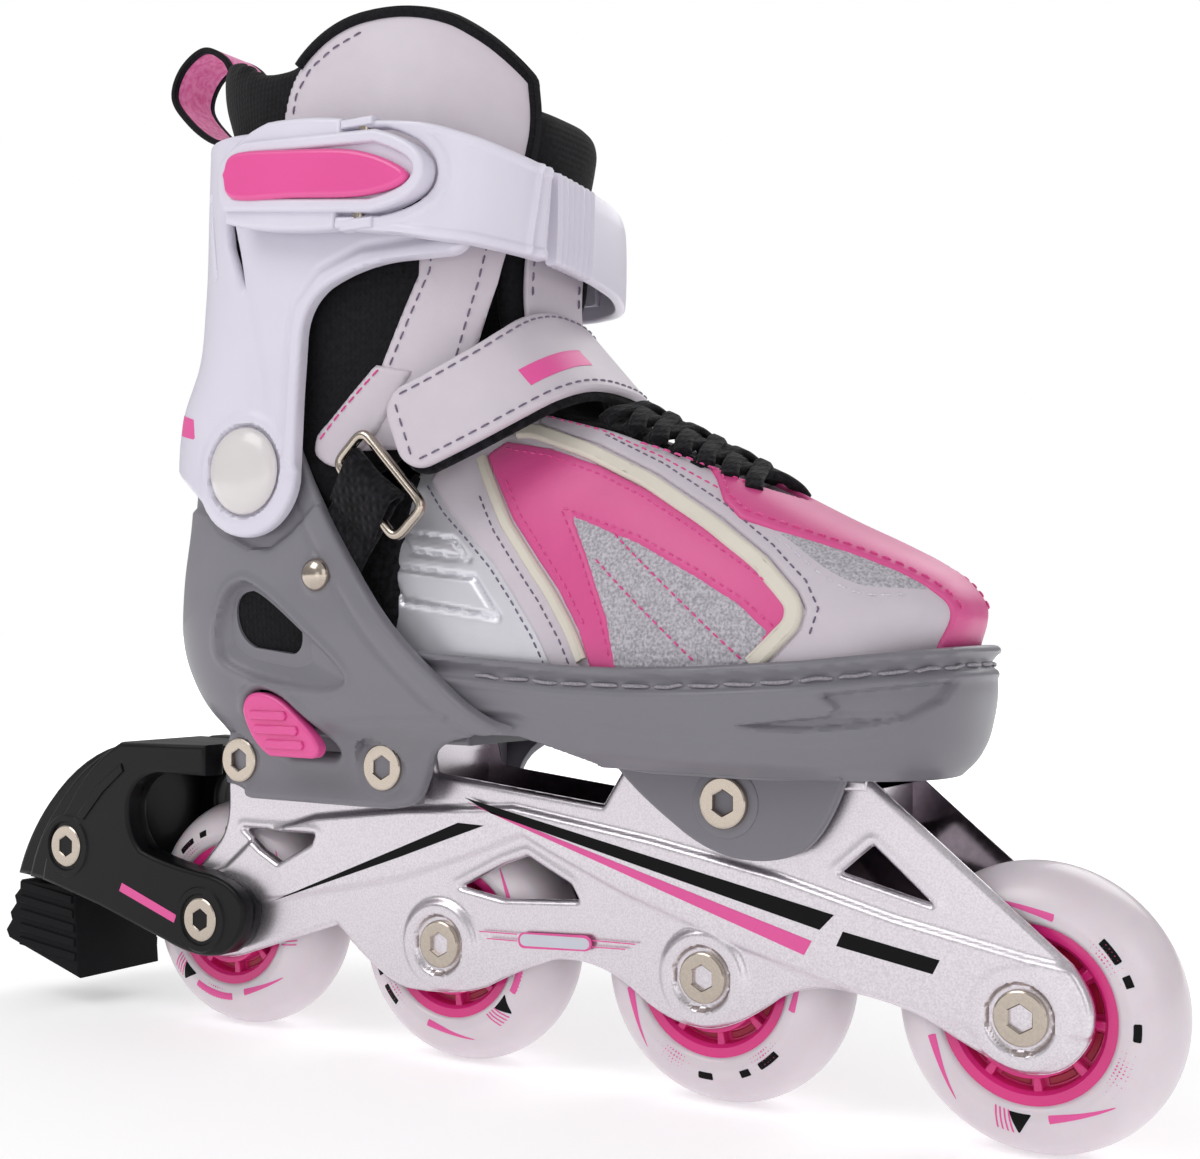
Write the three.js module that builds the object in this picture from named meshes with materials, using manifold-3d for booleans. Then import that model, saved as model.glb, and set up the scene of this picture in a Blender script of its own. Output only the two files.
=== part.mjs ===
// Child's adjustable inline skate: four wheels in a cast frame, a hard heel shell and sliding toe shell,
// a pivoting cuff with a cam buckle, a soft boot with laces and an instep strap, and a heel brake.
// Millimetres, +X to the toe, +Z up, y = 0 on the centre plane, z = 0 on the ground.
import * as THREE from 'three';
import { mergeVertices } from 'three/addons/utils/BufferGeometryUtils.js';
import Module from 'manifold-3d';

const wasm = await Module();
wasm.setup();

// Driving dimensions
const wheelRadius = 32;
const wheelHalfWidth = 12;
const wheelPitch = 76.5;
const plateInner = 13;
const plateOuter = 16;
const bearingOuter = 11;
const axleRadius = 4;
const headRadius = 6.1;
const deckTop = 83.7;
const toeDeckTop = 80.8;
const shellThickness = 3;
const toeThickness = 2.6;
const toeTravel = 18;
const pivotX = -84;
const pivotZ = 154;
const cuffInner = 38.2;
const cuffOuter = 41;
const lengthShift = 26.8;
const sideShift = 2.4;
const buttonZs = [82.6, 87, 91.4];
const heelBolts = [['rear', -100, 77], ['front', -51, 77.5]];
const toeBolt = [46.3, 74.2];
const brakeBolt = [-168, 48.4];
const padHalf = 16.4;
const webbingRivetPlace = [-62.5, 127];
const strapRivetPlace = [-48, 209.5];
const wheelXs = [-1.5, -0.5, 0.5, 1.5].map((step) => step * wheelPitch);
const sideNames = [['near', -1], ['far', 1]];

const finish = (color, roughness, metalness = 0) =>
  new THREE.MeshStandardMaterial({ color, roughness, metalness });
const finishes = {
  shell: finish(0x86858a, 0.45),
  cuff: finish(0xd9d4e1, 0.38),
  pink: finish(0xe0559a, 0.4),
  frame: finish(0xc9c3c8, 0.35, 0.85),
  tyre: finish(0xdccfd6, 0.4),
  hub: finish(0xd6337f, 0.4),
  steel: finish(0xb5aa9e, 0.25, 1),
  brake: finish(0x1e1b1f, 0.5),
  rubber: finish(0x141316, 0.8),
  leather: finish(0xcfc6ce, 0.55),
  knit: finish(0x17151a, 0.9),
  pearl: finish(0xd8d4d2, 0.25, 0.3),
};

// ---- Geometry helpers ----

function signedVolume(geometry) {
  const place = geometry.attributes.position;
  const index = geometry.index;
  const a = new THREE.Vector3();
  const b = new THREE.Vector3();
  const c = new THREE.Vector3();
  let sum = 0;
  for (let i = 0; i < index.count; i += 3) {
    a.fromBufferAttribute(place, index.getX(i));
    b.fromBufferAttribute(place, index.getX(i + 1));
    c.fromBufferAttribute(place, index.getX(i + 2));
    sum += a.dot(b.cross(c));
  }
  return sum / 6;
}

// Merges shared corners, drops collapsed triangles and turns the faces outward.
function clean(source) {
  const bare = new THREE.BufferGeometry();
  bare.setAttribute('position', source.attributes.position);
  if (source.index) bare.setIndex(source.index);
  const merged = mergeVertices(bare, 1e-4);
  const kept = [];
  const index = merged.index.array;
  for (let i = 0; i < index.length; i += 3) {
    const [a, b, c] = [index[i], index[i + 1], index[i + 2]];
    if (a !== b && b !== c && a !== c) kept.push(a, b, c);
  }
  merged.setIndex(kept);
  if (signedVolume(merged) < 0) {
    for (let i = 0; i < kept.length; i += 3) [kept[i], kept[i + 1]] = [kept[i + 1], kept[i]];
    merged.setIndex(kept);
  }
  return merged;
}

// A geometry as a solid that can be joined and cut; a solid passes through unchanged.
function toSolid(shape) {
  if (!shape.isBufferGeometry) return shape;
  const ready = clean(shape);
  const vertProperties = new Float32Array(ready.attributes.position.array);
  const triVerts = new Uint32Array(ready.index.array);
  return new wasm.Manifold(new wasm.Mesh({ numProp: 3, vertProperties, triVerts }));
}

function toGeometry(shape) {
  if (shape.isBufferGeometry) return clean(shape);
  const mesh = shape.getMesh();
  const geometry = new THREE.BufferGeometry();
  geometry.setAttribute('position', new THREE.BufferAttribute(mesh.vertProperties, 3));
  geometry.setIndex([...mesh.triVerts]);
  return geometry;
}

const join = (...shapes) => shapes.map(toSolid).reduce((all, next) => all.add(next));
const meet = (...shapes) => shapes.map(toSolid).reduce((all, next) => all.intersect(next));
const cut = (shape, ...tools) => tools.map(toSolid).reduce((all, next) => all.subtract(next), toSolid(shape));

// Keeps only the largest connected body of a shape.
const largest = (shape) => shape.decompose().sort((a, b) => b.volume() - a.volume())[0];

// A prism of an outline in x and z, from y0 to y1.
function prismY(shape, y0, y1, curveSegments = 4) {
  const solid = new THREE.ExtrudeGeometry(shape, { depth: y1 - y0, bevelEnabled: false, curveSegments });
  return solid.rotateX(Math.PI / 2).translate(0, y1, 0);
}

function box(x0, x1, y0, y1, z0, z1) {
  const solid = new THREE.BoxGeometry(x1 - x0, y1 - y0, z1 - z0);
  return solid.translate((x0 + x1) / 2, (y0 + y1) / 2, (z0 + z1) / 2);
}

function cylinderY(radius, x, z, y0, y1, sides = 14) {
  return new THREE.CylinderGeometry(radius, radius, y1 - y0, sides).translate(x, (y0 + y1) / 2, z);
}

// A turned body about an axis along y; the profile holds [radius, y] pairs and closes on itself.
function turned(profile, x, z, sides) {
  const points = [...profile, profile[0]].map(([radius, y]) => new THREE.Vector2(radius, y));
  return new THREE.LatheGeometry(points, sides).translate(x, 0, z);
}

// Rings of equal length, joined into a closed skin with a fan on each end.
function loft(rings) {
  const count = rings[0].length;
  const points = rings.flat();
  const faces = [];
  for (let level = 0; level < rings.length - 1; level += 1) {
    for (let i = 0; i < count; i += 1) {
      const a = level * count + i;
      const b = level * count + (i + 1) % count;
      faces.push(a, b, b + count, a, b + count, a + count);
    }
  }
  for (const [ring, start] of [[rings[0], 0], [rings.at(-1), (rings.length - 1) * count]]) {
    const middle = ring.reduce((sum, p) => sum.add(p), new THREE.Vector3()).divideScalar(count);
    points.push(middle);
    for (let i = 0; i < count; i += 1) {
      const [a, b] = [start + i, start + (i + 1) % count];
      if (start === 0) faces.push(b, a, points.length - 1);
      else faces.push(a, b, points.length - 1);
    }
  }
  const geometry = new THREE.BufferGeometry().setFromPoints(points);
  geometry.setIndex(faces);
  return geometry;
}

// A value read off a list of [where, value, ...] rows, in a straight line between rows.
function along(rows, where, column = 1) {
  if (where <= rows[0][0]) return rows[0][column];
  if (where >= rows.at(-1)[0]) return rows.at(-1)[column];
  const next = rows.findIndex((row) => row[0] > where);
  const [a, b] = [rows[next - 1], rows[next]];
  const t = (where - a[0]) / (b[0] - a[0]);
  return a[column] + (b[column] - a[column]) * t;
}

// A U-shaped plan at one height: round at the back, straight sides that may flare to an open front.
function heelRing(z, back, half, round, front, flare, steps = 7) {
  const ring = [];
  for (let i = 0; i <= 2 * steps; i += 1) {
    const angle = -Math.PI / 2 + (Math.PI * i) / (2 * steps);
    ring.push(new THREE.Vector3(back + round - round * Math.cos(angle), half * Math.sin(angle), z));
  }
  for (const side of [1, -1]) {
    const rounded = back + round;
    const middle = (rounded + front) / 2;
    const spots = side > 0 ? [middle, front] : [front, middle];
    for (const x of spots) {
      ring.push(new THREE.Vector3(x, side * (half + flare * (x - rounded)), z));
    }
  }
  return ring;
}

function bend(...pairs) {
  return new THREE.CatmullRomCurve3(pairs.map(([x, y, z]) => new THREE.Vector3(x, y, z)), false, 'centripetal');
}

// A flat band along a curve; width and thickness may change, and across(t) gives the width direction.
function band(curve, steps, width, thickness, across) {
  const rings = [];
  for (let i = 0; i <= steps; i += 1) {
    const t = i / steps;
    const centre = curve.getPointAt(t);
    const forward = curve.getTangentAt(t);
    const wide = across(t).clone();
    wide.addScaledVector(forward, -wide.dot(forward)).normalize();
    const thick = forward.clone().cross(wide);
    const halfWide = width(t) / 2;
    const halfThick = thickness(t) / 2;
    const corners = [[-1, 0], [-0.86, 1], [0, 1], [0.86, 1], [1, 0], [0.86, -1], [0, -1], [-0.86, -1]];
    rings.push(corners.map(([u, v]) =>
      centre.clone().addScaledVector(wide, u * halfWide).addScaledVector(thick, v * halfThick)));
  }
  return loft(rings);
}

// ---- Wheels, bearings and axles ----

function tyre(x) {
  const profile = [[20, -10.4], [20.2, -11.6]];
  for (let i = 0; i <= 6; i += 1) {
    const angle = -Math.PI / 2 + (Math.PI * i) / 6;
    profile.push([wheelRadius - wheelHalfWidth + wheelHalfWidth * Math.cos(angle) + 0.6 * (1 - Math.cos(angle)),
      wheelHalfWidth * Math.sin(angle)]);
  }
  profile.push([20.2, 11.6], [20, 10.4]);
  return turned(profile, x, wheelRadius, 24);
}

function hub(x) {
  const seat = bearingOuter + 0.1;
  const half = [[seat, 11.8], [13.4, 11.8], [13.4, 6.5], [16.6, 6.5], [16.6, 9.6], [19.7, 10.2]];
  const ribbed = [[5, 4.6], [seat, 4.6], ...half];
  const mirrored = [...ribbed].reverse().map(([radius, y]) => [radius, -y]);
  const body = turned([...ribbed, ...mirrored], x, wheelRadius, 18);
  const windows = [];
  for (let i = 0; i < 6; i += 1) {
    const window = new THREE.Shape();
    const middle = (i * Math.PI) / 3;
    window.absarc(x, wheelRadius, 16.2, middle - 0.36, middle + 0.36);
    window.absarc(x, wheelRadius, 13.8, middle + 0.34, middle - 0.34, true);
    windows.push(prismY(window, -7, 7, 2));
  }
  return cut(body, ...windows);
}

function bearing(x, side) {
  const [inner, outer] = [4.9, 11.9];
  return turned([[axleRadius + 0.15, side * inner], [bearingOuter - 0.05, side * inner],
    [bearingOuter - 0.05, side * outer], [axleRadius + 0.15, side * outer]], x, wheelRadius, 18);
}

// A socket-head bolt along y: the head's outer face at side * outer, the shaft in to side * inner.
function socketBolt(x, z, side, outer, inner, shaftRadius, headThickness = 1.4) {
  const profile = [[0, side * inner], [shaftRadius, side * inner], [shaftRadius, side * (outer - headThickness)],
    [headRadius, side * (outer - headThickness)], [headRadius, side * (outer - 0.4)],
    [headRadius - 0.5, side * outer], [0, side * outer]];
  const points = profile.map(([radius, y]) => new THREE.Vector2(radius, y));
  const body = new THREE.LatheGeometry(points, 12).translate(x, 0, z);
  const [y0, y1] = side < 0 ? [-outer - 1, -outer + 2.6] : [outer - 2.6, outer + 1];
  return cut(body, cylinderY(2.7, x, z, y0, y1, 6));
}

// ---- Frame ----

function plateOutline() {
  const plate = new THREE.Shape();
  plate.moveTo(80, toeDeckTop);
  plate.lineTo(126, 44);
  plate.quadraticCurveTo(132.5, 36, 129.5, 29);
  plate.quadraticCurveTo(125.5, 20, 116, 20);
  plate.quadraticCurveTo(110, 20.5, 97, 27);
  plate.quadraticCurveTo(88, 31.5, 76, 32.5);
  plate.quadraticCurveTo(66, 34, 58, 29.5);
  plate.quadraticCurveTo(46, 20, 38, 19.8);
  plate.quadraticCurveTo(28, 19.5, 18, 27);
  plate.quadraticCurveTo(8, 33.5, -4, 31.5);
  plate.quadraticCurveTo(-14, 28, -24, 22.5);
  plate.quadraticCurveTo(-34, 18.5, -50, 19.3);
  plate.quadraticCurveTo(-58, 20.5, -73, 33.5);
  plate.lineTo(-106, 22);
  plate.quadraticCurveTo(-118, 18, -125, 25);
  plate.quadraticCurveTo(-130, 33, -124, 44);
  plate.lineTo(-115, 54);
  plate.quadraticCurveTo(-111.5, 59, -112.5, 68);
  plate.lineTo(-112, deckTop);
  plate.lineTo(-42, deckTop);
  plate.lineTo(-40, 76);
  plate.lineTo(10, 71);
  plate.quadraticCurveTo(13, 76, 16, toeDeckTop);
  plate.closePath();
  return plate;
}

function hole(points) {
  const path = new THREE.Shape();
  points.forEach(([x, z], i) => (i ? path.lineTo(x, z) : path.moveTo(x, z)));
  path.closePath();
  return path;
}

function toeSlot(halfHeight) {
  const slot = new THREE.Shape();
  const [x0, z] = toeBolt;
  const x1 = x0 + toeTravel;
  slot.absarc(x0, z, halfHeight, Math.PI / 2, (3 * Math.PI) / 2);
  slot.absarc(x1, z, halfHeight, -Math.PI / 2, Math.PI / 2);
  return slot;
}

function frame() {
  const pieces = [];
  const cuts = [];
  const openings = [
    hole([[-106, 57], [-80, 57.3], [-81, 55], [-92.5, 48.8], [-99, 52]]),
    hole([[73, 59.6], [80.5, 66.2], [94.5, 54.4]]),
    hole([[-32, 47.3], [-19, 54], [-12, 56.6], [1, 50.5], [3.2, 47], [-19, 45.4]]),
  ];
  for (const [, side] of sideNames) {
    const [y0, y1] = side < 0 ? [-plateOuter, -plateInner] : [plateInner, plateOuter];
    pieces.push(prismY(plateOutline(), y0, y1, 3));
    for (const x of wheelXs) {
      const [b0, b1] = side < 0 ? [-plateOuter + 0.5, -12.25] : [12.25, plateOuter - 0.5];
      pieces.push(cylinderY(7.4, x, wheelRadius, b0, b1, 10));
      const [c0, c1] = side < 0 ? [-plateOuter - 1, -14.6] : [14.6, plateOuter + 1];
      cuts.push(cylinderY(7.5, x, wheelRadius, c0, c1));
    }
  }
  for (const x of wheelXs) cuts.push(cylinderY(axleRadius + 0.15, x, wheelRadius, -20, 20, 12));
  for (const opening of openings) cuts.push(prismY(opening, -20, 20));
  for (const [, x, z] of heelBolts) cuts.push(cylinderY(3.1, x, z, -20, 20, 12));
  cuts.push(prismY(toeSlot(3.2), -20, 20));
  const heelDeck = box(-111, -43, -plateOuter, plateOuter, deckTop - 3, deckTop);
  const toeDeck = box(17, 79.6, -plateOuter, plateOuter, toeDeckTop - 2.6, toeDeckTop);
  const rearWall = box(-111, -108, -14, 14, 70, deckTop - 1);
  const middleWall = box(-46, -43, -14, 14, 68, deckTop - 1);
  const frontWall = box(18, 21, -14, 14, 66, toeDeckTop - 1);
  const noseWall = box(76.4, 79.4, -14, 14, 68, toeDeckTop - 1);
  return cut(join(...pieces, heelDeck, toeDeck, rearWall, middleWall, frontWall, noseWall), ...cuts);
}

// ---- Heel shell ----

const heelRows = [
  // height, back, half width, round length
  [66.5, -104, 24, 8],
  [78, -106, 24.2, 9],
  [84, -112, 27.5, 18],
  [90, -120, 31.5, 28],
  [100, -128, 33, 33],
  [112, -131, 34.2, 35],
  [125, -130, 35, 34],
  [140, -126.4, 36.6, 33],
  [150, -124.9, 37.4, 33],
  [170, -124.5, 37.4, 33],
];

// How much the sides open toward the front, by height.
const heelFlare = [[78, 0], [90, 0.075], [120, 0.06], [140, 0.015], [150, 0]];

function heelSkin(inset, from = 66.5, to = 170) {
  const heights = [from, ...heelRows.map((row) => row[0]).filter((z) => z > from && z < to), to];
  return loft(heights.map((z) => heelRing(z, along(heelRows, z) + inset, along(heelRows, z, 2) - inset,
    along(heelRows, z, 3) - inset, 12, along(heelFlare, z))));
}

function heelSide() {
  const side = new THREE.Shape();
  side.moveTo(-98, 66.8);
  side.lineTo(-50, 66.8);
  side.quadraticCurveTo(-40, 67.2, -38, 74);
  side.quadraticCurveTo(-34, 85, -12, 87.2);
  side.lineTo(-3, 88);
  side.quadraticCurveTo(-14, 93, -30, 106);
  side.quadraticCurveTo(-50, 122, -66, 152);
  side.lineTo(-70, 160);
  side.quadraticCurveTo(-76, 167.5, -86, 167.5);
  side.quadraticCurveTo(-96, 167, -100, 158);
  side.lineTo(-136, 158);
  side.lineTo(-136, 80);
  side.lineTo(-112, 80);
  side.lineTo(-106, 72);
  side.quadraticCurveTo(-104, 67, -98, 66.8);
  return side;
}

function sizeButtonOutline(grow) {
  const outline = new THREE.Shape();
  outline.moveTo(-89.5 - grow, 91);
  outline.quadraticCurveTo(-89.5 - grow, 96.2 + grow, -84, 96.2 + grow);
  outline.quadraticCurveTo(-78, 96 + grow, -72, 91 + grow);
  outline.quadraticCurveTo(-64 + grow, 85 + grow, -63.5 + grow, 82.5);
  outline.quadraticCurveTo(-63.5 + grow, 79.5 - grow, -67, 79.6 - grow);
  outline.lineTo(-80, 79.6 - grow);
  outline.quadraticCurveTo(-87 - grow, 83 - grow, -89.5 - grow, 91);
  return outline;
}

function heelWindow() {
  const window = new THREE.Shape();
  window.moveTo(-94.5, 117);
  window.quadraticCurveTo(-94.5, 122.5, -88, 122.8);
  window.quadraticCurveTo(-84, 122, -70.5, 112);
  window.quadraticCurveTo(-70, 107, -74, 106);
  window.lineTo(-88, 107.5);
  window.quadraticCurveTo(-94.5, 110, -94.5, 117);
  return window;
}

function windowRecess() {
  const recess = new THREE.Shape();
  recess.moveTo(-95, 119);
  recess.quadraticCurveTo(-99, 112, -97, 105);
  recess.quadraticCurveTo(-90, 98.5, -62, 98);
  recess.quadraticCurveTo(-53, 98.5, -58, 103.5);
  recess.lineTo(-69, 112);
  recess.quadraticCurveTo(-82, 122, -88, 122.5);
  recess.closePath();
  return recess;
}

function heelShell() {
  const outer = meet(heelSkin(0), prismY(heelSide(), -60, 60));
  const cavity = heelSkin(shellThickness, 87, 169);
  const channel = box(-140, 20, -plateOuter - 0.4, plateOuter + 0.4, 60, 84);
  const tools = [cavity, channel, prismY(heelWindow(), -60, 60)];
  const skinBelow = heelSkin(1.3);
  tools.push(cut(prismY(windowRecess(), -60, 60), skinBelow));
  tools.push(prismY(sizeButtonOutline(0.6), -60, -20));
  for (const [, x, z] of heelBolts) {
    tools.push(cylinderY(3.1, x, z, -60, 60, 12));
    tools.push(cylinderY(7.2, x, z, -60, -22.6));
    tools.push(cylinderY(7.2, x, z, 22.6, 60));
  }
  tools.push(cylinderY(2.3, ...webbingRivetPlace, -60, -20, 12));
  tools.push(cylinderY(5.2, pivotX, pivotZ, -60, 60, 16));
  return largest(cut(outer, ...tools));
}

// ---- Toe shell ----

const toeRows = [
  // x, half width
  [-76, 30.6],
  [-58, 31.4],
  [-30, 33.6],
  [0, 36],
  [20, 38.4],
  [45, 40.4],
  [58, 40.2],
];

// Plan of the tray at one height: follows the foot, with a round toe.
function toeRing(z, scale, inset, rear = -58) {
  const ring = [];
  const stations = [rear, -30, 0, 20, 45];
  const near = stations.map((x) => [x, along(toeRows, x) * scale - inset]);
  for (const [x, half] of near) ring.push(new THREE.Vector3(x, -half, z));
  const [noseX, noseY, noseZ] = [58, 40.2 * scale - inset, 43.8 * (0.45 + 0.55 * scale) - inset];
  for (let i = 0; i <= 10; i += 1) {
    const angle = -Math.PI / 2 + (Math.PI * i) / 10;
    const flat = Math.sign(Math.sin(angle)) * Math.abs(Math.sin(angle)) ** 0.9;
    ring.push(new THREE.Vector3(noseX + noseZ * Math.cos(angle) ** 0.85, noseY * flat, z));
  }
  for (const [x, half] of near.reverse()) ring.push(new THREE.Vector3(x, half, z));
  return ring;
}

const toeLevels = [[81.2, 0.7], [84, 0.81], [88, 0.905], [94, 0.97], [101, 1], [107, 0.995], [114, 0.975]];

function toeSkin(inset, from, rear) {
  const levels = toeLevels.filter(([z]) => z >= from);
  if (levels[0][0] > from) levels.unshift([from, along(toeLevels, from)]);
  return loft(levels.map(([z, scale]) => toeRing(z, scale, inset, rear)));
}

function toeSide() {
  const side = new THREE.Shape();
  side.moveTo(-57, 87.4);
  side.lineTo(-3.4, 87.4);
  side.quadraticCurveTo(10, 84, 16, 81.2);
  side.lineTo(80, 81.2);
  side.quadraticCurveTo(104, 82, 110, 100);
  side.lineTo(110, 113);
  side.quadraticCurveTo(70, 107, 30, 105.6);
  side.quadraticCurveTo(-10, 105.8, -40, 108.4);
  side.lineTo(-57, 108.4);
  side.closePath();
  return side;
}

function earOutline() {
  const ear = new THREE.Shape();
  ear.moveTo(16, 86);
  ear.lineTo(17, 80.5);
  ear.quadraticCurveTo(22, 75, 34, 67.5);
  ear.quadraticCurveTo(46, 60.5, 58, 61.5);
  ear.quadraticCurveTo(70, 63, 73.5, 75);
  ear.lineTo(75, 86);
  ear.closePath();
  return ear;
}

function sweepRecess() {
  const recess = new THREE.Shape();
  recess.moveTo(32, 90);
  recess.quadraticCurveTo(52, 90.6, 76, 91.4);
  recess.quadraticCurveTo(92, 92.5, 97, 103);
  recess.lineTo(70, 100.6);
  recess.quadraticCurveTo(62, 95.5, 32, 91.4);
  recess.closePath();
  return recess;
}

function toeShell() {
  const outer = meet(toeSkin(0, 81.2, -58), prismY(toeSide(), -60, 60));
  const cavity = toeSkin(toeThickness, 90, -70);
  const ears = sideNames.map(([, side]) =>
    prismY(earOutline(), side < 0 ? -19.8 : 16.4, side < 0 ? -16.4 : 19.8));
  const shell = cut(join(outer, ...ears), cavity, cut(prismY(sweepRecess(), -60, 60), toeSkin(1, 81.2, -58)));
  return largest(cut(shell, cylinderY(3.1, ...toeBolt, -60, 60, 12)));
}

// ---- Cuff ----

const cuffRows = [
  // height, back, half width, round length
  [134, -128.2, 41, 33.4],
  [157, -128.2, 41, 33.4],
  [170, -126.2, 41, 32],
  [184, -120.5, 40.6, 31],
  [200, -118.5, 40.2, 30],
  [228, -117.5, 40, 29],
  [250, -117, 39.6, 28],
];

function cuffSkin(inset, from = 134, to = 250) {
  const heights = [from, ...cuffRows.map((row) => row[0]).filter((z) => z > from && z < to), to];
  return loft(heights.map((z) =>
    heelRing(z, along(cuffRows, z) + inset, along(cuffRows, z, 2) - inset, along(cuffRows, z, 3) - inset, -10, 0)));
}

function cuffSide() {
  const side = new THREE.Shape();
  side.moveTo(-136, 150);
  side.lineTo(-104, 150);
  side.quadraticCurveTo(-101, 150, -99.4, 146);
  side.absarc(pivotX, pivotZ, 17.3, Math.PI * 1.16, Math.PI * 1.94);
  side.lineTo(-65.5, 188);
  side.quadraticCurveTo(-65, 196, -58, 200);
  side.quadraticCurveTo(-48, 204.6, -36, 204.8);
  side.lineTo(-20, 204.6);
  side.quadraticCurveTo(-14.5, 205, -14.5, 210);
  side.quadraticCurveTo(-14.5, 215, -20, 215.5);
  side.lineTo(-30, 216);
  side.quadraticCurveTo(-52, 222, -62, 234);
  side.quadraticCurveTo(-70, 241, -84, 243);
  side.lineTo(-136, 247);
  side.closePath();
  return side;
}

function cuff() {
  const outer = meet(cuffSkin(0), prismY(cuffSide(), -60, 60));
  const slit = hole([[-105, 228], [-102, 229], [-97, 206]]);
  const tools = [cuffSkin(cuffOuter - cuffInner, 130, 260), prismY(slit, -60, 60)];
  tools.push(cylinderY(5, pivotX, pivotZ, -60, 60, 16));
  tools.push(cylinderY(2.2, ...strapRivetPlace, 20, 60, 12));
  tools.push(box(-25, 0, 20, 60, 190, 230));
  return largest(cut(outer, ...tools));
}

function pivotCap(side) {
  const outer = cuffOuter + 0.3;
  const profile = [[0, 35.4], [4.6, 35.4], [4.6, outer], [11.4, outer], [11.4, outer + 0.9], [10, outer + 1.7],
    [6, outer + 2.3], [0, outer + 2.6]];
  const points = profile.map(([radius, y]) => new THREE.Vector2(radius, side * y));
  return new THREE.LatheGeometry(points, 20).translate(pivotX, 0, pivotZ);
}

// ---- Buckle ----

const leverPin = [-41, -47.4];
const leverHeight = 225;
const leverTilt = 0.077;
const upright = new THREE.Vector3(0, 0, 1);

// Tips a buckle piece nose down about its pin, the way the strap falls to the front.
function tilted(geometry) {
  geometry.translate(-leverPin[0], 0, -leverHeight);
  return geometry.rotateY(leverTilt).translate(leverPin[0], 0, leverHeight);
}

function strapWidth(x) {
  return along([[-60, 27], [-41, 27.6], [-10, 25.5], [5, 23]], x);
}

function pinBore() {
  const bore = new THREE.CylinderGeometry(1.6, 1.6, 60, 12).rotateX(Math.PI / 2);
  return tilted(bore.translate(leverPin[0], leverPin[1], leverHeight));
}

function nearStrap() {
  const curve = bend([-2.6, -25.4, 215.4], [-5.6, -32, 216.6], [-12, -40, 218.8], [-19, -43.4, 220.6],
    [-28, -45.6, 222.8], [-46.6, -47.4, 225.4]);
  const strip = band(curve, 12, (t) => strapWidth(curve.getPointAt(t).x), () => 3, () => upright);
  const thickEnd = tilted(box(-46.5, -36.5, -49.6, -45.2, 211.4, 238.6));
  const fork = new THREE.Shape();
  fork.moveTo(-60, 214.4);
  fork.lineTo(-34, 214.6);
  fork.quadraticCurveTo(-19.6, 217, -19.6, 224.6);
  fork.quadraticCurveTo(-19.6, 232.4, -34, 236.2);
  fork.lineTo(-60, 236.6);
  fork.closePath();
  return largest(cut(join(strip, thickEnd), tilted(prismY(fork, -60, -30)), pinBore()));
}

function farStrap() {
  const curve = bend([-2.2, -21.4, 215], [-3, -12, 214.8], [-4, 2, 214], [-6.4, 16, 212.8], [-12, 29, 211.4],
    [-18, 37.4, 210.4], [-25.5, 42.3, 210], [-34, 43.1, 209.6], [-56, 43, 209.5]);
  const width = (t) => 21.4 - 3.4 * THREE.MathUtils.smoothstep(t, 0.45, 0.8);
  const strip = band(curve, 18, width, () => 3, () => upright);
  return cut(strip, cylinderY(2.3, ...strapRivetPlace, 30, 60, 12));
}

function strapRivet() {
  const profile = [[0, 36.2], [3.4, 36.2], [3.4, 37], [1.9, 37], [1.9, 44.9], [4.6, 44.9], [3.6, 46.4], [0, 46.8]];
  const [x, z] = strapRivetPlace;
  return new THREE.LatheGeometry(profile.map(([r, y]) => new THREE.Vector2(r, y)), 12).translate(x, 0, z);
}

function leverOutline(inset) {
  const outline = new THREE.Shape();
  const [top, bottom, nose, tail] = [235.4 - inset, 215.2 + inset, -20.2 - inset, -86 + inset];
  outline.moveTo(tail + 3, bottom + 1.5);
  outline.lineTo(-36, bottom);
  outline.quadraticCurveTo(nose, bottom + 2.4, nose, 225);
  outline.quadraticCurveTo(nose, top - 3.6, -36, top);
  outline.lineTo(tail + 8, top - 1);
  outline.quadraticCurveTo(tail - 1, top - 4, tail, 225);
  outline.quadraticCurveTo(tail, bottom + 3, tail + 3, bottom + 1.5);
  return outline;
}

function buckleLever() {
  const core = tilted(prismY(leverOutline(0), -50.4, -44.2));
  const wings = new THREE.Shape();
  wings.moveTo(-84, 214);
  wings.quadraticCurveTo(-72, 211, -50, 211.4);
  wings.lineTo(-47.6, 211.6);
  wings.lineTo(-47.6, 239);
  wings.quadraticCurveTo(-60, 240.6, -72, 239.4);
  wings.quadraticCurveTo(-83, 236, -85.4, 230);
  wings.closePath();
  const cheeks = tilted(prismY(wings, -49, -43.8));
  const pocket = tilted(prismY(leverOutline(3.4), -60, -49.2));
  return cut(join(core, cheeks), pocket, pinBore());
}

function leverInsert() {
  return tilted(prismY(leverOutline(3.8), -51.6, -49.5));
}

function leverPinRod() {
  const rod = new THREE.CylinderGeometry(1.5, 1.5, 27.4, 12).rotateX(Math.PI / 2);
  return tilted(rod.translate(leverPin[0], leverPin[1], leverHeight));
}

// ---- Size button ----

function sizeButton() {
  const cap = prismY(sizeButtonOutline(0), -34.4, -30.4);
  const grooves = buttonZs.map((z) => box(-86, -70, -36, -33.6, z - 0.5, z + 0.5));
  return cut(cap, ...grooves);
}

// ---- Soft boot ----

const collarRows = [
  // height, back, half width, front
  [87.4, -106, 25, -34],
  [95, -117, 27.4, -34],
  [106, -122.4, 29.6, -32],
  [120, -123.6, 31.2, -28],
  [140, -120.6, 32.2, -20],
  [160, -118.4, 33.2, -14],
  [185, -114, 34, -12],
  [205, -112.4, 34.4, -11],
  [247, -112.6, 34.2, -11],
  [258, -117, 33.4, -12],
  [274, -118.4, 31.6, -16],
];
const linerLean = 0.15;

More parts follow.
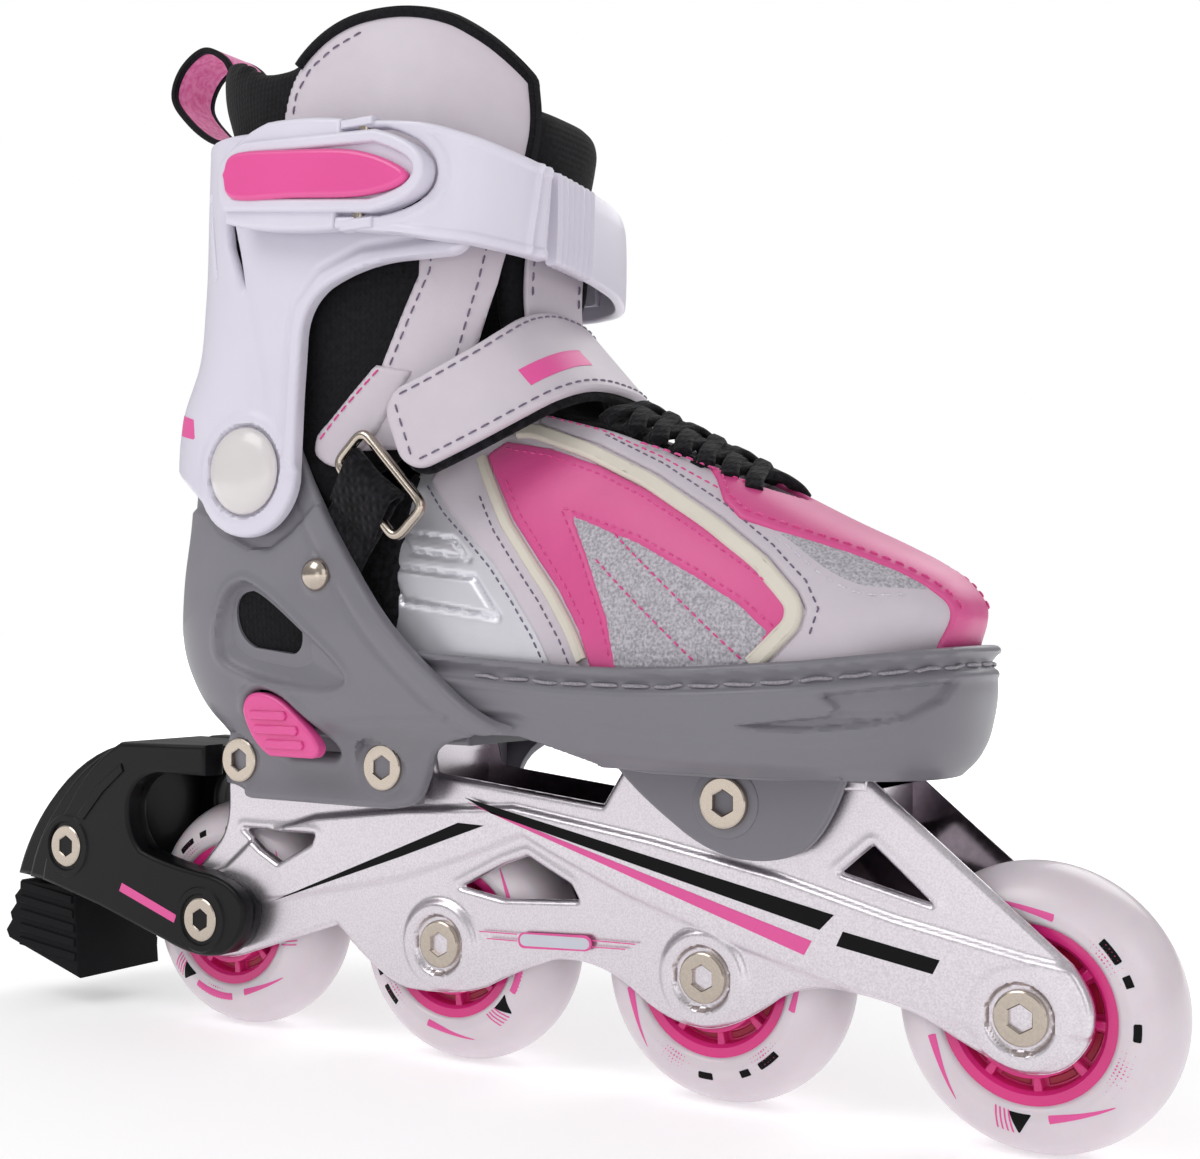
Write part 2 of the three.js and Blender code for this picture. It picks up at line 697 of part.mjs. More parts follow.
// Oval plan of the ankle at one height.
function ankleRing(z, inset) {
  const [back, half, front] = [1, 2, 3].map((column) => along(collarRows, z, column));
  const ring = [];
  const length = (front - back) / 2 - inset;
  const middle = (front + back) / 2;
  for (let i = 0; i < 22; i += 1) {
    const angle = (2 * Math.PI * i) / 22;
    const [c, s] = [Math.cos(angle), Math.sin(angle)];
    ring.push(new THREE.Vector3(middle - length * Math.sign(c) * Math.abs(c) ** 0.72,
      -(half - inset) * Math.sign(s) * Math.abs(s) ** 0.72, z));
  }
  return ring;
}

function ankleSkin(inset, from, to) {
  const heights = [from, ...collarRows.map((row) => row[0]).filter((z) => z > from && z < to), to];
  return loft(heights.map((z) => ankleRing(z, inset)));
}

// Side outline of the padding above the pivot; the near flap stands higher than the far one.
function collarSide(isNear) {
  const side = new THREE.Shape();
  side.moveTo(-130, pivotZ + 0.6);
  side.lineTo(-40.6, pivotZ + 0.6);
  side.lineTo(-38, 158);
  side.quadraticCurveTo(-28, 180, -18, 205);
  if (isNear) {
    side.lineTo(-12, 232);
    side.quadraticCurveTo(-11, 253, -20, 261);
    side.quadraticCurveTo(-32, 270.6, -42, 271);
    side.quadraticCurveTo(-58, 272, -72, 265);
    side.quadraticCurveTo(-84, 260, -94, 265);
  } else {
    side.lineTo(-16, 214);
    side.quadraticCurveTo(-22, 236, -52, 244);
    side.quadraticCurveTo(-78, 250, -94, 265);
  }
  side.quadraticCurveTo(-108, 273.4, -130, 273.4);
  side.closePath();
  return side;
}

function collar() {
  const sides = join(prismY(collarSide(true), -60, 0.1), prismY(collarSide(false), -0.1, 60));
  const outer = meet(ankleSkin(0, pivotZ, 274), sides);
  return largest(cut(outer, ankleSkin(5.4, pivotZ - 6, 280), box(-58, 0, -18.6, 18.6, 92, 290)));
}

// The liner below the pivot; its top edge falls to the front to leave room for the forward lean.
function heelLiner() {
  const side = new THREE.Shape();
  side.moveTo(-130, 87.4);
  side.lineTo(-59.4, 87.4);
  side.lineTo(-59.4, 138);
  side.lineTo(-48, pivotZ - 1 + linerLean * (pivotX + 48));
  side.lineTo(pivotX, pivotZ - 1);
  side.lineTo(-130, pivotZ - 2.4);
  side.closePath();
  const outer = meet(ankleSkin(0, 87.4, pivotZ), prismY(side, -60, 60));
  return largest(cut(outer, ankleSkin(5.4, 90, pivotZ + 6), box(-58, 0, -18.6, 18.6, 92, 290)));
}

const upperRows = [
  // x, half width, top height
  [-60, 26.6, 168],
  [-40, 28, 176],
  [-20, 29.6, 177],
  [0, 31.2, 171],
  [8, 31.8, 168],
  [30, 35.2, 157.6],
  [50, 36.4, 147.4],
  [66, 34.4, 139.4],
  [80, 29.4, 133],
  [90, 22.4, 127.4],
  [95, 14.6, 120],
  [96.4, 9, 115],
];
const upperBase = 91;
const upperSpring = 99;

// Arched section of the forefoot at one station along x.
function upperRing(x, inset) {
  const [half, top] = [along(upperRows, x) - inset, along(upperRows, x, 2) - inset];
  const ring = [];
  const power = along([[-60, 0.82], [30, 0.8], [60, 0.7], [97, 0.62]], x);
  for (let i = 0; i <= 14; i += 1) {
    const angle = (Math.PI * i) / 14;
    const [c, s] = [Math.cos(angle), Math.sin(angle)];
    ring.push(new THREE.Vector3(x, -half * Math.sign(c) * Math.abs(c) ** power,
      upperSpring + (top - upperSpring) * Math.abs(s) ** 0.86));
  }
  for (const side of [1, -1]) ring.push(new THREE.Vector3(x, side * (half - 3.6), upperBase - 20 * (inset > 0)));
  return ring;
}

function upperSkin(inset, from, to) {
  const stations = [from, ...upperRows.map((row) => row[0]).filter((x) => x > from && x < to), to];
  return loft(stations.map((x) => upperRing(x, inset)));
}

function throat() {
  const opening = new THREE.Shape();
  opening.moveTo(-62, -17);
  opening.lineTo(20, -14);
  opening.lineTo(52, -11);
  opening.quadraticCurveTo(62, 0, 52, 11);
  opening.lineTo(20, 14);
  opening.lineTo(-62, 17);
  opening.closePath();
  return new THREE.ExtrudeGeometry(opening, { depth: 90, bevelEnabled: false, curveSegments: 5 }).translate(0, 0, 122);
}

function quarterSide() {
  const side = new THREE.Shape();
  side.moveTo(-59, 80);
  side.lineTo(8, 80);
  side.lineTo(8, 190);
  side.lineTo(-20, 190);
  side.lineTo(-36.6, 158.6);
  side.lineTo(-58.6, 137.8);
  side.closePath();
  return side;
}

function quarter() {
  const outer = meet(upperSkin(0, -59.6, 9), prismY(quarterSide(), -60, 60));
  const shell = cut(outer, upperSkin(3.6, -70, 20), throat());
  return join(shell, box(-58.4, 7.6, -25, 25, 90.4, 91.6));
}

function vamp() {
  const outer = upperSkin(0, 8.5, 96.4);
  return largest(cut(outer, upperSkin(3.6, 0, 93), throat()));
}

function footbed() {
  const plan = new THREE.Shape();
  plan.moveTo(-98, -16);
  plan.quadraticCurveTo(-60, -19.4, -20, -22);
  plan.lineTo(40, -28.2);
  plan.quadraticCurveTo(76, -27, 78, 0);
  plan.quadraticCurveTo(76, 27, 40, 28.2);
  plan.lineTo(-20, 22);
  plan.quadraticCurveTo(-60, 19.4, -98, 16);
  plan.quadraticCurveTo(-111, 0, -98, -16);
  const sole = new THREE.ExtrudeGeometry(plan, { depth: 2.6, bevelEnabled: false, curveSegments: 6 });
  return sole.translate(0, 0, 92);
}

function tongue() {
  const curve = bend([50, 0, 138.4], [34, 0, 146], [14, 0, 155.6], [-2, 0, 165], [-13, 0, 177], [-19, 0, 190],
    [-20, 0, 204], [-17.4, 0, 222], [-13, 0, 242]);
  const { smoothstep } = THREE.MathUtils;
  const width = (t) => 22 + 13 * smoothstep(t, 0.25, 0.8) - 10 * smoothstep(t, 0.94, 1);
  const thickness = (t) => 3.4 + 4.6 * smoothstep(t, 0.6, 0.9);
  return band(curve, 18, width, thickness, () => new THREE.Vector3(0, 1, 0));
}

// The lace zigzags across the throat on top of the vamp.
function lace() {
  const crossings = 6;
  const points = [];
  for (let i = 0; i <= crossings; i += 1) {
    const x = 12 + (i * 38) / crossings;
    const height = along(upperRows, x, 2) + 1.6;
    const side = i % 2 ? 1 : -1;
    points.push(new THREE.Vector3(x, side * 12, height), new THREE.Vector3(x + 3, side * 7, height + 0.4));
  }
  const path = new THREE.CatmullRomCurve3(points, false, 'centripetal');
  const section = new THREE.Shape();
  section.absarc(0, 0, 2.2, 0, 2 * Math.PI);
  return new THREE.ExtrudeGeometry(section, { steps: 44, extrudePath: path, curveSegments: 3, bevelEnabled: false });
}

function instepStrap() {
  const curve = bend([-34, -42.2, 160.6], [-23, -39.4, 165.6], [-11, -34, 172.6], [-4.4, -26, 178.6], [-3, -14, 182.6],
    [-3.4, 0, 183.6], [-5, 15, 181.6], [-10, 28, 174], [-17, 37, 162]);
  const rows = [[0, 22], [0.3, 24], [0.6, 29], [1, 26]];
  const lean = new THREE.Vector3(15.4, 0, -16.5).normalize();
  return band(curve, 18, (t) => along(rows, t), () => 3.4, () => lean);
}

function strapRing() {
  const corners = [[-46.6, 163], [-27.5, 143.6], [-36, 135.6], [-55, 155]].map(([x, z]) => new THREE.Vector3(x, -38.6, z));
  const points = [];
  corners.forEach((corner, i) => {
    const before = corners[(i + 3) % 4];
    const after = corners[(i + 1) % 4];
    const turn = new THREE.QuadraticBezierCurve3(corner.clone().lerp(before, 0.16), corner,
      corner.clone().lerp(after, 0.16));
    points.push(...turn.getPoints(3));
  });
  return ringAlong(new THREE.CatmullRomCurve3(points, true, 'centripetal'), 28, 1.3, 6);
}

// A round wire along a closed curve.
function ringAlong(loop, steps, radius, sides) {
  const normal = new THREE.Vector3(0, 1, 0);
  const points = [];
  const faces = [];
  for (let i = 0; i < steps; i += 1) {
    const centre = loop.getPointAt(i / steps);
    const across = loop.getTangentAt(i / steps).clone().cross(normal).normalize();
    for (let k = 0; k < sides; k += 1) {
      const angle = (2 * Math.PI * k) / sides;
      points.push(centre.clone().addScaledVector(across, radius * Math.cos(angle))
        .addScaledVector(normal, radius * Math.sin(angle)));
      const [a, b] = [i * sides + k, i * sides + (k + 1) % sides];
      const [c, d] = [((i + 1) % steps) * sides + k, ((i + 1) % steps) * sides + (k + 1) % sides];
      faces.push(a, b, d, a, d, c);
    }
  }
  const geometry = new THREE.BufferGeometry().setFromPoints(points);
  geometry.setIndex(faces);
  return geometry;
}

function ringWebbing() {
  const curve = bend([-62, -33, 126.6], [-57, -33, 135], [-50, -34, 143.6], [-43, -35.2, 151]);
  const lean = new THREE.Vector3(15.4, 0, -13).normalize();
  return band(curve, 8, () => 18, () => 1.4, () => lean);
}

function webbingRivet() {
  const profile = [[0, 34.2], [1.9, 34.2], [1.9, 37.6], [4.3, 37.6], [3.7, 38.8], [2, 39.6], [0, 39.9]];
  const [x, z] = webbingRivetPlace;
  return new THREE.LatheGeometry(profile.map(([r, y]) => new THREE.Vector2(r, -y)), 12).translate(x, 0, z);
}

function pullLoop() {
  const curve = bend([-120.2, 0, 270.4], [-124, 0, 277.4], [-132, 0, 281], [-140.4, 0, 276.6], [-143.4, 0, 268.6],
    [-137, 0, 260.4], [-128, 0, 254], [-120.6, 0, 251.4]);
  return band(curve, 16, () => 17, () => 1.6, () => new THREE.Vector3(0, 1, 0.1));
}

// ---- Brake ----

function brakeProfile(inset) {
  const side = new THREE.Shape();
  side.moveTo(-114, 80.2);
  side.lineTo(-147, 79.6);
  side.quadraticCurveTo(-168 + inset * 0.6, 76 - inset * 0.2, -182 + inset, 60);
  side.quadraticCurveTo(-191 + inset, 50, -195 + inset * 1.2, 37.5);
  side.lineTo(-171, 36);
  side.lineTo(-154, 32);
  side.lineTo(-128, 24.6);
  side.quadraticCurveTo(-116, 20.4, -107, 23);
  side.quadraticCurveTo(-98, 28, -99, 37);
  side.quadraticCurveTo(-102, 43, -112, 44.6);
  side.quadraticCurveTo(-128, 46, -138, 49.4);
  side.quadraticCurveTo(-144, 54, -143.4, 62);
  side.quadraticCurveTo(-142, 70, -132, 71.6);
  side.lineTo(-114, 71.6);
  side.closePath();
  return side;
}

function brakeArm() {
  const [inner, outer] = [16.4, 22.6];
  const plates = sideNames.map(([, side]) =>
    prismY(brakeProfile(14), side < 0 ? -outer : inner, side < 0 ? -inner : outer));
  const core = meet(prismY(brakeProfile(0), -17, 17), box(-200, -149.6, -17, 17, 36, 80));
  const shoulders = meet(prismY(brakeProfile(7), -20, 20), box(-200, -149.6, -20, 20, 36, 80));
  const bridge = box(-152, -117.6, -17, 17, 75.6, 79.4);
  const pocket = box(-190, -172.4, -14.2, 14.2, 20, 46.4);
  const tools = [pocket];
  for (const [, side] of sideNames) {
    const [c0, c1] = side < 0 ? [-30, -21.4] : [21.4, 30];
    tools.push(cylinderY(7.1, wheelXs[0], wheelRadius, c0, c1));
    tools.push(cylinderY(7.1, ...brakeBolt, c0, c1));
  }
  tools.push(cylinderY(axleRadius + 0.15, wheelXs[0], wheelRadius, -30, 30, 12));
  tools.push(cylinderY(3.1, ...brakeBolt, -30, 30, 12));
  return largest(cut(join(...plates, core, shoulders, bridge), ...tools));
}

function brakePad() {
  const side = new THREE.Shape();
  side.moveTo(-171, 35.4);
  side.lineTo(-168, 8.4);
  side.lineTo(-199, 17.6);
  const steps = [[-200.4, 20], [-198, 23.4], [-198.8, 25.4], [-196.4, 28.6], [-197, 30.4], [-194.6, 33.2], [-194.4, 35.4]];
  for (const [x, z] of steps) side.lineTo(x, z);
  side.closePath();
  const tenon = box(-189.6, -172.8, -13.8, 13.8, 34, 46);
  return join(prismY(side, -padHalf, padHalf), tenon);
}

// ---- Assembly ----

const skate = new THREE.Group();
skate.position.set(lengthShift, sideShift, 0);

function add(name, shape, material) {
  const ready = toGeometry(shape);
  ready.computeVertexNormals();
  const mesh = new THREE.Mesh(ready, material);
  mesh.name = name;
  skate.add(mesh);
}

wheelXs.forEach((x, i) => {
  const label = i + 1;
  const braked = i === 0;
  const outer = braked ? 22.8 : 15.9;
  add(`tyre_${label}`, tyre(x), finishes.tyre);
  add(`hub_${label}`, hub(x), finishes.hub);
  add(`bearing_near_${label}`, bearing(x, -1), finishes.steel);
  add(`bearing_far_${label}`, bearing(x, 1), finishes.steel);
  add(`axle_bolt_${label}`, socketBolt(x, wheelRadius, -1, outer, -8, axleRadius, braked ? 1.3 : 1.2), finishes.steel);
  add(`axle_nut_${label}`, socketBolt(x, wheelRadius, 1, outer, 8.3, axleRadius, braked ? 1.3 : 1.2), finishes.steel);
});
add('frame', frame(), finishes.frame);
add('heel_shell', heelShell(), finishes.shell);
heelBolts.forEach(([place, x, z]) => {
  add(`heel_bolt_${place}`, socketBolt(x, z, -1, 24.2, -1, 3, 1.5), finishes.steel);
  add(`heel_nut_${place}`, socketBolt(x, z, 1, 24.2, 1.3, 3, 1.5), finishes.steel);
});
add('toe_shell', toeShell(), finishes.shell);
add('toe_bolt', socketBolt(...toeBolt, -1, 21.8, -1, 3, 1.7), finishes.steel);
add('toe_nut', socketBolt(...toeBolt, 1, 21.8, 1.3, 3, 1.7), finishes.steel);
add('size_button', sizeButton(), finishes.pink);
add('cuff', cuff(), finishes.cuff);
for (const [place, side] of sideNames) add(`pivot_cap_${place}`, pivotCap(side), finishes.pearl);
add('strap_near', nearStrap(), finishes.cuff);
add('strap_far', farStrap(), finishes.cuff);
add('strap_rivet', strapRivet(), finishes.steel);
add('buckle_lever', buckleLever(), finishes.cuff);
add('lever_insert', leverInsert(), finishes.pink);
add('lever_pin', leverPinRod(), finishes.steel);
add('collar', collar(), finishes.knit);
add('heel_liner', heelLiner(), finishes.knit);
add('quarter', quarter(), finishes.leather);
add('vamp', vamp(), finishes.leather);
add('footbed', footbed(), finishes.knit);
add('tongue', tongue(), finishes.knit);
add('lace', lace(), finishes.knit);
add('instep_strap', instepStrap(), finishes.leather);
add('strap_ring', strapRing(), finishes.steel);
add('ring_webbing', ringWebbing(), finishes.knit);
add('webbing_rivet', webbingRivet(), finishes.steel);
add('pull_loop', pullLoop(), finishes.pink);
add('brake_arm', brakeArm(), finishes.brake);
add('brake_pad', brakePad(), finishes.rubber);
add('brake_bolt', socketBolt(...brakeBolt, -1, 22.8, -1, 3, 1.3), finishes.steel);
add('brake_nut', socketBolt(...brakeBolt, 1, 22.8, 1.3, 3, 1.3), finishes.steel);

export default skate;
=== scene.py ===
import math
import bpy
import numpy as np
from mathutils import Matrix, Vector


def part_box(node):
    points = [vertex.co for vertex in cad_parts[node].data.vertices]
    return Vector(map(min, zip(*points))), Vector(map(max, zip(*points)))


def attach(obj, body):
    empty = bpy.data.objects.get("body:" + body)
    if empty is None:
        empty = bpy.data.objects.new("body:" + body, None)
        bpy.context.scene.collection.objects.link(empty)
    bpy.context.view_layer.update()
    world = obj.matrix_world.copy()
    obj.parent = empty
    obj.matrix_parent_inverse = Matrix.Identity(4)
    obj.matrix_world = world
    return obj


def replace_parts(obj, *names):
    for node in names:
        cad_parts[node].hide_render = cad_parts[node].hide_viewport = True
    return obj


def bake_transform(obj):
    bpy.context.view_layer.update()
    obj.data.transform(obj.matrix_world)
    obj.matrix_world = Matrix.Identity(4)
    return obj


# Child's inline skate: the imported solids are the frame, and every visible piece is built over them.
# All lengths below are millimetres from the wheelbase middle, the centre plane and the ground.
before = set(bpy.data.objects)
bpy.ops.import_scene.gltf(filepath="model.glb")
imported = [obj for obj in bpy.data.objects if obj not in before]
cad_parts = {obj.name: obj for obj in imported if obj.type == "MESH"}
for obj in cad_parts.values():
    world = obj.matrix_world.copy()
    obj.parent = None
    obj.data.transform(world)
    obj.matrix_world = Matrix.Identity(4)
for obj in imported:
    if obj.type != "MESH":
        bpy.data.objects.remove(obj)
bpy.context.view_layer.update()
hubLow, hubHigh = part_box("hub_1")
wheelXs = [-114.75, -38.25, 38.25, 114.75]
shift = np.array([(hubLow.x + hubHigh.x) * 500 - wheelXs[0], (hubLow.y + hubHigh.y) * 500, 0])
scene = bpy.context.scene
bothSides = ((-1, "near"), (1, "far"))
print("frame loaded")


# small maths

def smoothStep(low, high, value):
    t = np.clip((value - low) / (high - low), 0, 1)
    return t * t * (3 - 2 * t)


def fromRows(rows, where, column=1):  # A smooth curve through rows of [where, value, ...]
    rows = np.array(rows, float)
    x, y = rows[:, 0], rows[:, column]
    slope = np.gradient(y, x)
    flat = np.diff(y)
    for i in range(1, len(x) - 1):
        if flat[i - 1] * flat[i] <= 0:
            slope[i] = 0
    w = np.clip(np.asarray(where, float), x[0], x[-1])
    i = np.clip(np.searchsorted(x, w, side="right") - 1, 0, len(x) - 2)
    h = x[i + 1] - x[i]
    t = (w - x[i]) / h
    return (y[i] * (1 + 2 * t) * (1 - t) ** 2 + y[i + 1] * t * t * (3 - 2 * t)
            + slope[i] * h * t * (1 - t) ** 2 - slope[i + 1] * h * t * t * (1 - t))


# Points of a path: a pair is a corner, and four numbers are a control point and an end
def outline(*steps):
    points = []
    for step in steps:
        if len(step) == 2:
            points.append(step)
        else:
            start = points[-1]
            for t in np.linspace(0, 1, 9)[1:]:
                points.append(tuple((1 - t) ** 2 * start[k] + 2 * t * (1 - t) * step[k] + t * t * step[k + 2]
                                    for k in (0, 1)))
    return np.array(points, float)


def inside(points, a, b):  # Distance to a closed outline in the plane of a and b, positive inside
    start, end = points, np.roll(points, -1, 0)
    best = np.full(a.shape, 1e9)
    winding = np.zeros(a.shape, bool)
    for (ax, az), (bx, bz) in zip(start, end):
        dx, dz = bx - ax, bz - az
        length = dx * dx + dz * dz
        if length < 1e-12:
            continue
        t = np.clip(((a - ax) * dx + (b - az) * dz) / length, 0, 1)
        best = np.minimum(best, (a - ax - t * dx) ** 2 + (b - az - t * dz) ** 2)
        if az != bz:
            crosses = (az > b) != (bz > b)
            winding ^= crosses & (a < dx * (b - az) / dz + ax)
    best = np.sqrt(best)
    return np.where(winding, best, -best)


def nearLine(points, a, b):  # Distance to an open line in the plane of a and b
    best = np.full(a.shape, 1e9)
    for (ax, az), (bx, bz) in zip(points[:-1], points[1:]):
        dx, dz = bx - ax, bz - az
        t = np.clip(((a - ax) * dx + (b - az) * dz) / max(dx * dx + dz * dz, 1e-12), 0, 1)
        best = np.minimum(best, (a - ax - t * dx) ** 2 + (b - az - t * dz) ** 2)
    return np.sqrt(best)


def throughPoints(points, count):  # Evenly spaced points on a smooth curve through the given ones
    p = np.array(points, float)
    p = np.vstack([2 * p[0] - p[1], p, 2 * p[-1] - p[-2]])
    fine = []
    for i in range(1, len(p) - 2):
        for t in np.linspace(0, 1, 16, endpoint=False):
            fine.append(0.5 * (2 * p[i] + (p[i + 1] - p[i - 1]) * t
                               + (2 * p[i - 1] - 5 * p[i] + 4 * p[i + 1] - p[i + 2]) * t * t
                               + (3 * p[i] - p[i - 1] - 3 * p[i + 1] + p[i + 2]) * t ** 3))
    fine.append(p[-2])
    return evenly(np.array(fine), count)


def evenly(line, count):
    steps = np.linalg.norm(np.diff(line, axis=0), axis=1)
    run = np.concatenate([[0], np.cumsum(steps)])
    at = np.linspace(0, run[-1], count)
    return np.stack([np.interp(at, run, line[:, k]) for k in range(line.shape[1])], 1)


# making pieces

def makePiece(name, points, faces, material, body, sharp=38):
    mesh = bpy.data.meshes.new(name)
    mesh.from_pydata(((np.asarray(points, float) + shift) / 1000).tolist(), [], faces)
    mesh.validate()
    mesh.polygons.foreach_set("use_smooth", [True] * len(mesh.polygons))
    mesh.set_sharp_from_angle(angle=math.radians(sharp))
    mesh.materials.append(material)
    piece = bpy.data.objects.new(name, mesh)
    scene.collection.objects.link(piece)
    if body:
        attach(piece, body)
    return piece


def normalsOf(grid, closed=False):
    if closed:
        du = (np.roll(grid, -1, 0) - np.roll(grid, 1, 0)) / 2
    else:
        du = np.gradient(grid, axis=0)
    n = np.cross(du, np.gradient(grid, axis=1))
    length = np.linalg.norm(n, axis=2, keepdims=True)
    return n / np.maximum(length, 1e-9)


# A wall that follows a grid of points, trimmed where field falls below zero, with rounded edges
def skin(name, grid, field, material, body, thickness=2.0, rounding=0.9, relief=None, lift=0.0,
         flip=False, closed=False, slot=None, sharp=38):
    normal = normalsOf(grid, closed) * (-1 if flip else 1)
    f = field(grid[..., 0], grid[..., 1], grid[..., 2])
    f = np.where(np.abs(f) < 1e-6, 1e-6, f)
    nu, nv = f.shape
    raised = np.zeros(f.shape) if relief is None else relief(grid[..., 0], grid[..., 1], grid[..., 2])
    wall = np.broadcast_to(np.asarray(thickness, float), f.shape)
    packed = np.concatenate([grid, normal, f[..., None], raised[..., None], wall[..., None]], 2).reshape(-1, 9)
    extra, extraIds, polygons = [], {}, []

    def crossing(i, j):
        key = (min(i, j), max(i, j))
        if key not in extraIds:
            a, b = packed[key[0]], packed[key[1]]
            t = a[6] / (a[6] - b[6])
            extraIds[key] = len(packed) + len(extra)
            extra.append(a + (b - a) * t)
        return extraIds[key]

    flat = f.reshape(-1)
    ups = nu if closed else nu - 1
    for i in range(ups):
        k = (i + 1) % nu
        a = np.arange(nv - 1) + i * nv
        b = np.arange(nv - 1) + k * nv
        quads = np.stack([a, b, b + 1, a + 1], 1)
        count = (flat[quads] > 0).sum(1)
        polygons.extend(quads[count == 4].tolist())
        for quad in quads[(count > 0) & (count < 4)].tolist():
            corners = []
            for m in range(4):
                here, after = quad[m], quad[(m + 1) % 4]
                if flat[here] > 0:
                    corners.append(here)
                if (flat[here] > 0) != (flat[after] > 0):
                    corners.append(crossing(here, after))
            if len(corners) > 2:
                polygons.append(corners)
    everything = np.vstack([packed, np.array(extra).reshape(-1, 9)])
    used = sorted({i for polygon in polygons for i in polygon})
    order = {old: new for new, old in enumerate(used)}
    polygons = [[order[i] for i in polygon] for polygon in polygons]
    rows = everything[used]
    place, n, depth, up, thick = rows[:, :3], rows[:, 3:6], np.maximum(rows[:, 6], 0), rows[:, 7], rows[:, 8]
    n = n / np.maximum(np.linalg.norm(n, axis=1, keepdims=True), 1e-9)
    drop = rounding - np.sqrt(np.maximum(rounding ** 2 - np.maximum(rounding - depth, 0) ** 2, 0)) if rounding else 0
    outer = place + n * (lift + up - drop)[:, None]
    inner = place + n * (lift - thick)[:, None]
    count = len(rows)
    edges = {}
    for polygon in polygons:
        for m in range(len(polygon)):
            e = (polygon[m], polygon[(m + 1) % len(polygon)])
            if (e[1], e[0]) in edges:
                del edges[(e[1], e[0])]
            else:
                edges[e] = True
    walls = [[b, a, a + count, b + count] for a, b in edges]
    back = [[i + count for i in reversed(polygon)] for polygon in polygons]
    faces = polygons + back + walls
    if flip:
        faces = [face[::-1] for face in faces]
    return makePiece(name, np.vstack([outer, inner]), faces, material, body, sharp)


# A turned piece about an axis along y from [radius, y] pairs; a radius may be a function of the angle
def turn(name, profile, x, z, material, body, sides=72, sharp=32, closed=False):
    angles = np.arange(sides) * 2 * math.pi / sides
    points, faces = [], []
    for radius, y in profile:
        r = radius(angles) if callable(radius) else np.full(sides, float(radius))
        points.append(np.stack([x + r * np.cos(angles), np.full(sides, float(y)), z + r * np.sin(angles)], 1))
    rings = len(profile)
    for k in range(rings if closed else rings - 1):
        a, b = k * sides, ((k + 1) % rings) * sides
        for i in range(sides):
            j = (i + 1) % sides
            faces.append([a + i, a + j, b + j, b + i])
    points = np.vstack(points)
    area = sum((profile[(k + 1) % rings][1] - profile[k][1])
               * ((1 if callable(profile[k][0]) else profile[k][0]) + (1 if callable(profile[(k + 1) % rings][0])
                  else profile[(k + 1) % rings][0])) for k in range(rings))
    if area < 0:
        faces = [face[::-1] for face in faces]
    if not closed:
        faces.append(list(range(sides))[::1 if area < 0 else -1])
        faces.append(list(range((rings - 1) * sides, rings * sides))[::-1 if area < 0 else 1])
    return makePiece(name, points, faces, material, body, sharp)


# A section carried along a line; section(t) gives [width, thickness] pairs, across(t) the width direction
def sweep(name, line, section, across, material, body, closed=False, sharp=40):
    line = np.asarray(line, float)
    count = len(line)
    if closed:
        tangent = np.roll(line, -1, 0) - np.roll(line, 1, 0)
    else:
        tangent = np.gradient(line, axis=0)
    tangent /= np.maximum(np.linalg.norm(tangent, axis=1, keepdims=True), 1e-9)
    rings = []
    for i in range(count):
        t = i / (count if closed else count - 1)
        wide = np.array(across(t), float)
        wide = wide - tangent[i] * (wide @ tangent[i])
        wide /= np.linalg.norm(wide)
        thick = np.cross(tangent[i], wide)
        rings.append([line[i] + wide * u + thick * v for u, v in section(t)])
    size = len(rings[0])
    faces = []
    for i in range(count if closed else count - 1):
        a, b = i * size, ((i + 1) % count) * size
        for k in range(size):
            m = (k + 1) % size
            faces.append([a + k, b + k, b + m, a + m])
    if not closed:
        faces.append(list(range(size)))
        faces.append([(count - 1) * size + k for k in reversed(range(size))])
    return makePiece(name, np.array(rings).reshape(-1, 3), faces, material, body, sharp)


def roundSection(radius, sides=10):
    ring = [(radius * math.cos(2 * math.pi * k / sides), radius * math.sin(2 * math.pi * k / sides)) for k in range(sides)]
    return lambda t: ring


# A flat strip with rounded edges; width and thickness may be functions of t
def stripSection(width, thickness, corner=0.5, bulge=0.0):
    def section(t):
        w = (width(t) if callable(width) else width) / 2
        h = (thickness(t) if callable(thickness) else thickness) / 2
        r = min(corner, h * 0.98, w * 0.98)
        turnSteps = [0, 0.35, 0.7, 1]
        top = []
        for s in turnSteps:
            a = s * math.pi / 2
            top.append((w - r + r * math.cos(a), h - r + r * math.sin(a)))
        for s in (0.6, 0.2, -0.2, -0.6):
            top.append((w * s, h + bulge * (1 - s * s)))
        for s in reversed(turnSteps):
            a = s * math.pi / 2
            top.append((-w + r - r * math.cos(a), h - r + r * math.sin(a)))
        bottom = [(-u, -v if abs(v) <= h else -h) for u, v in top]
        return top + bottom
    return section


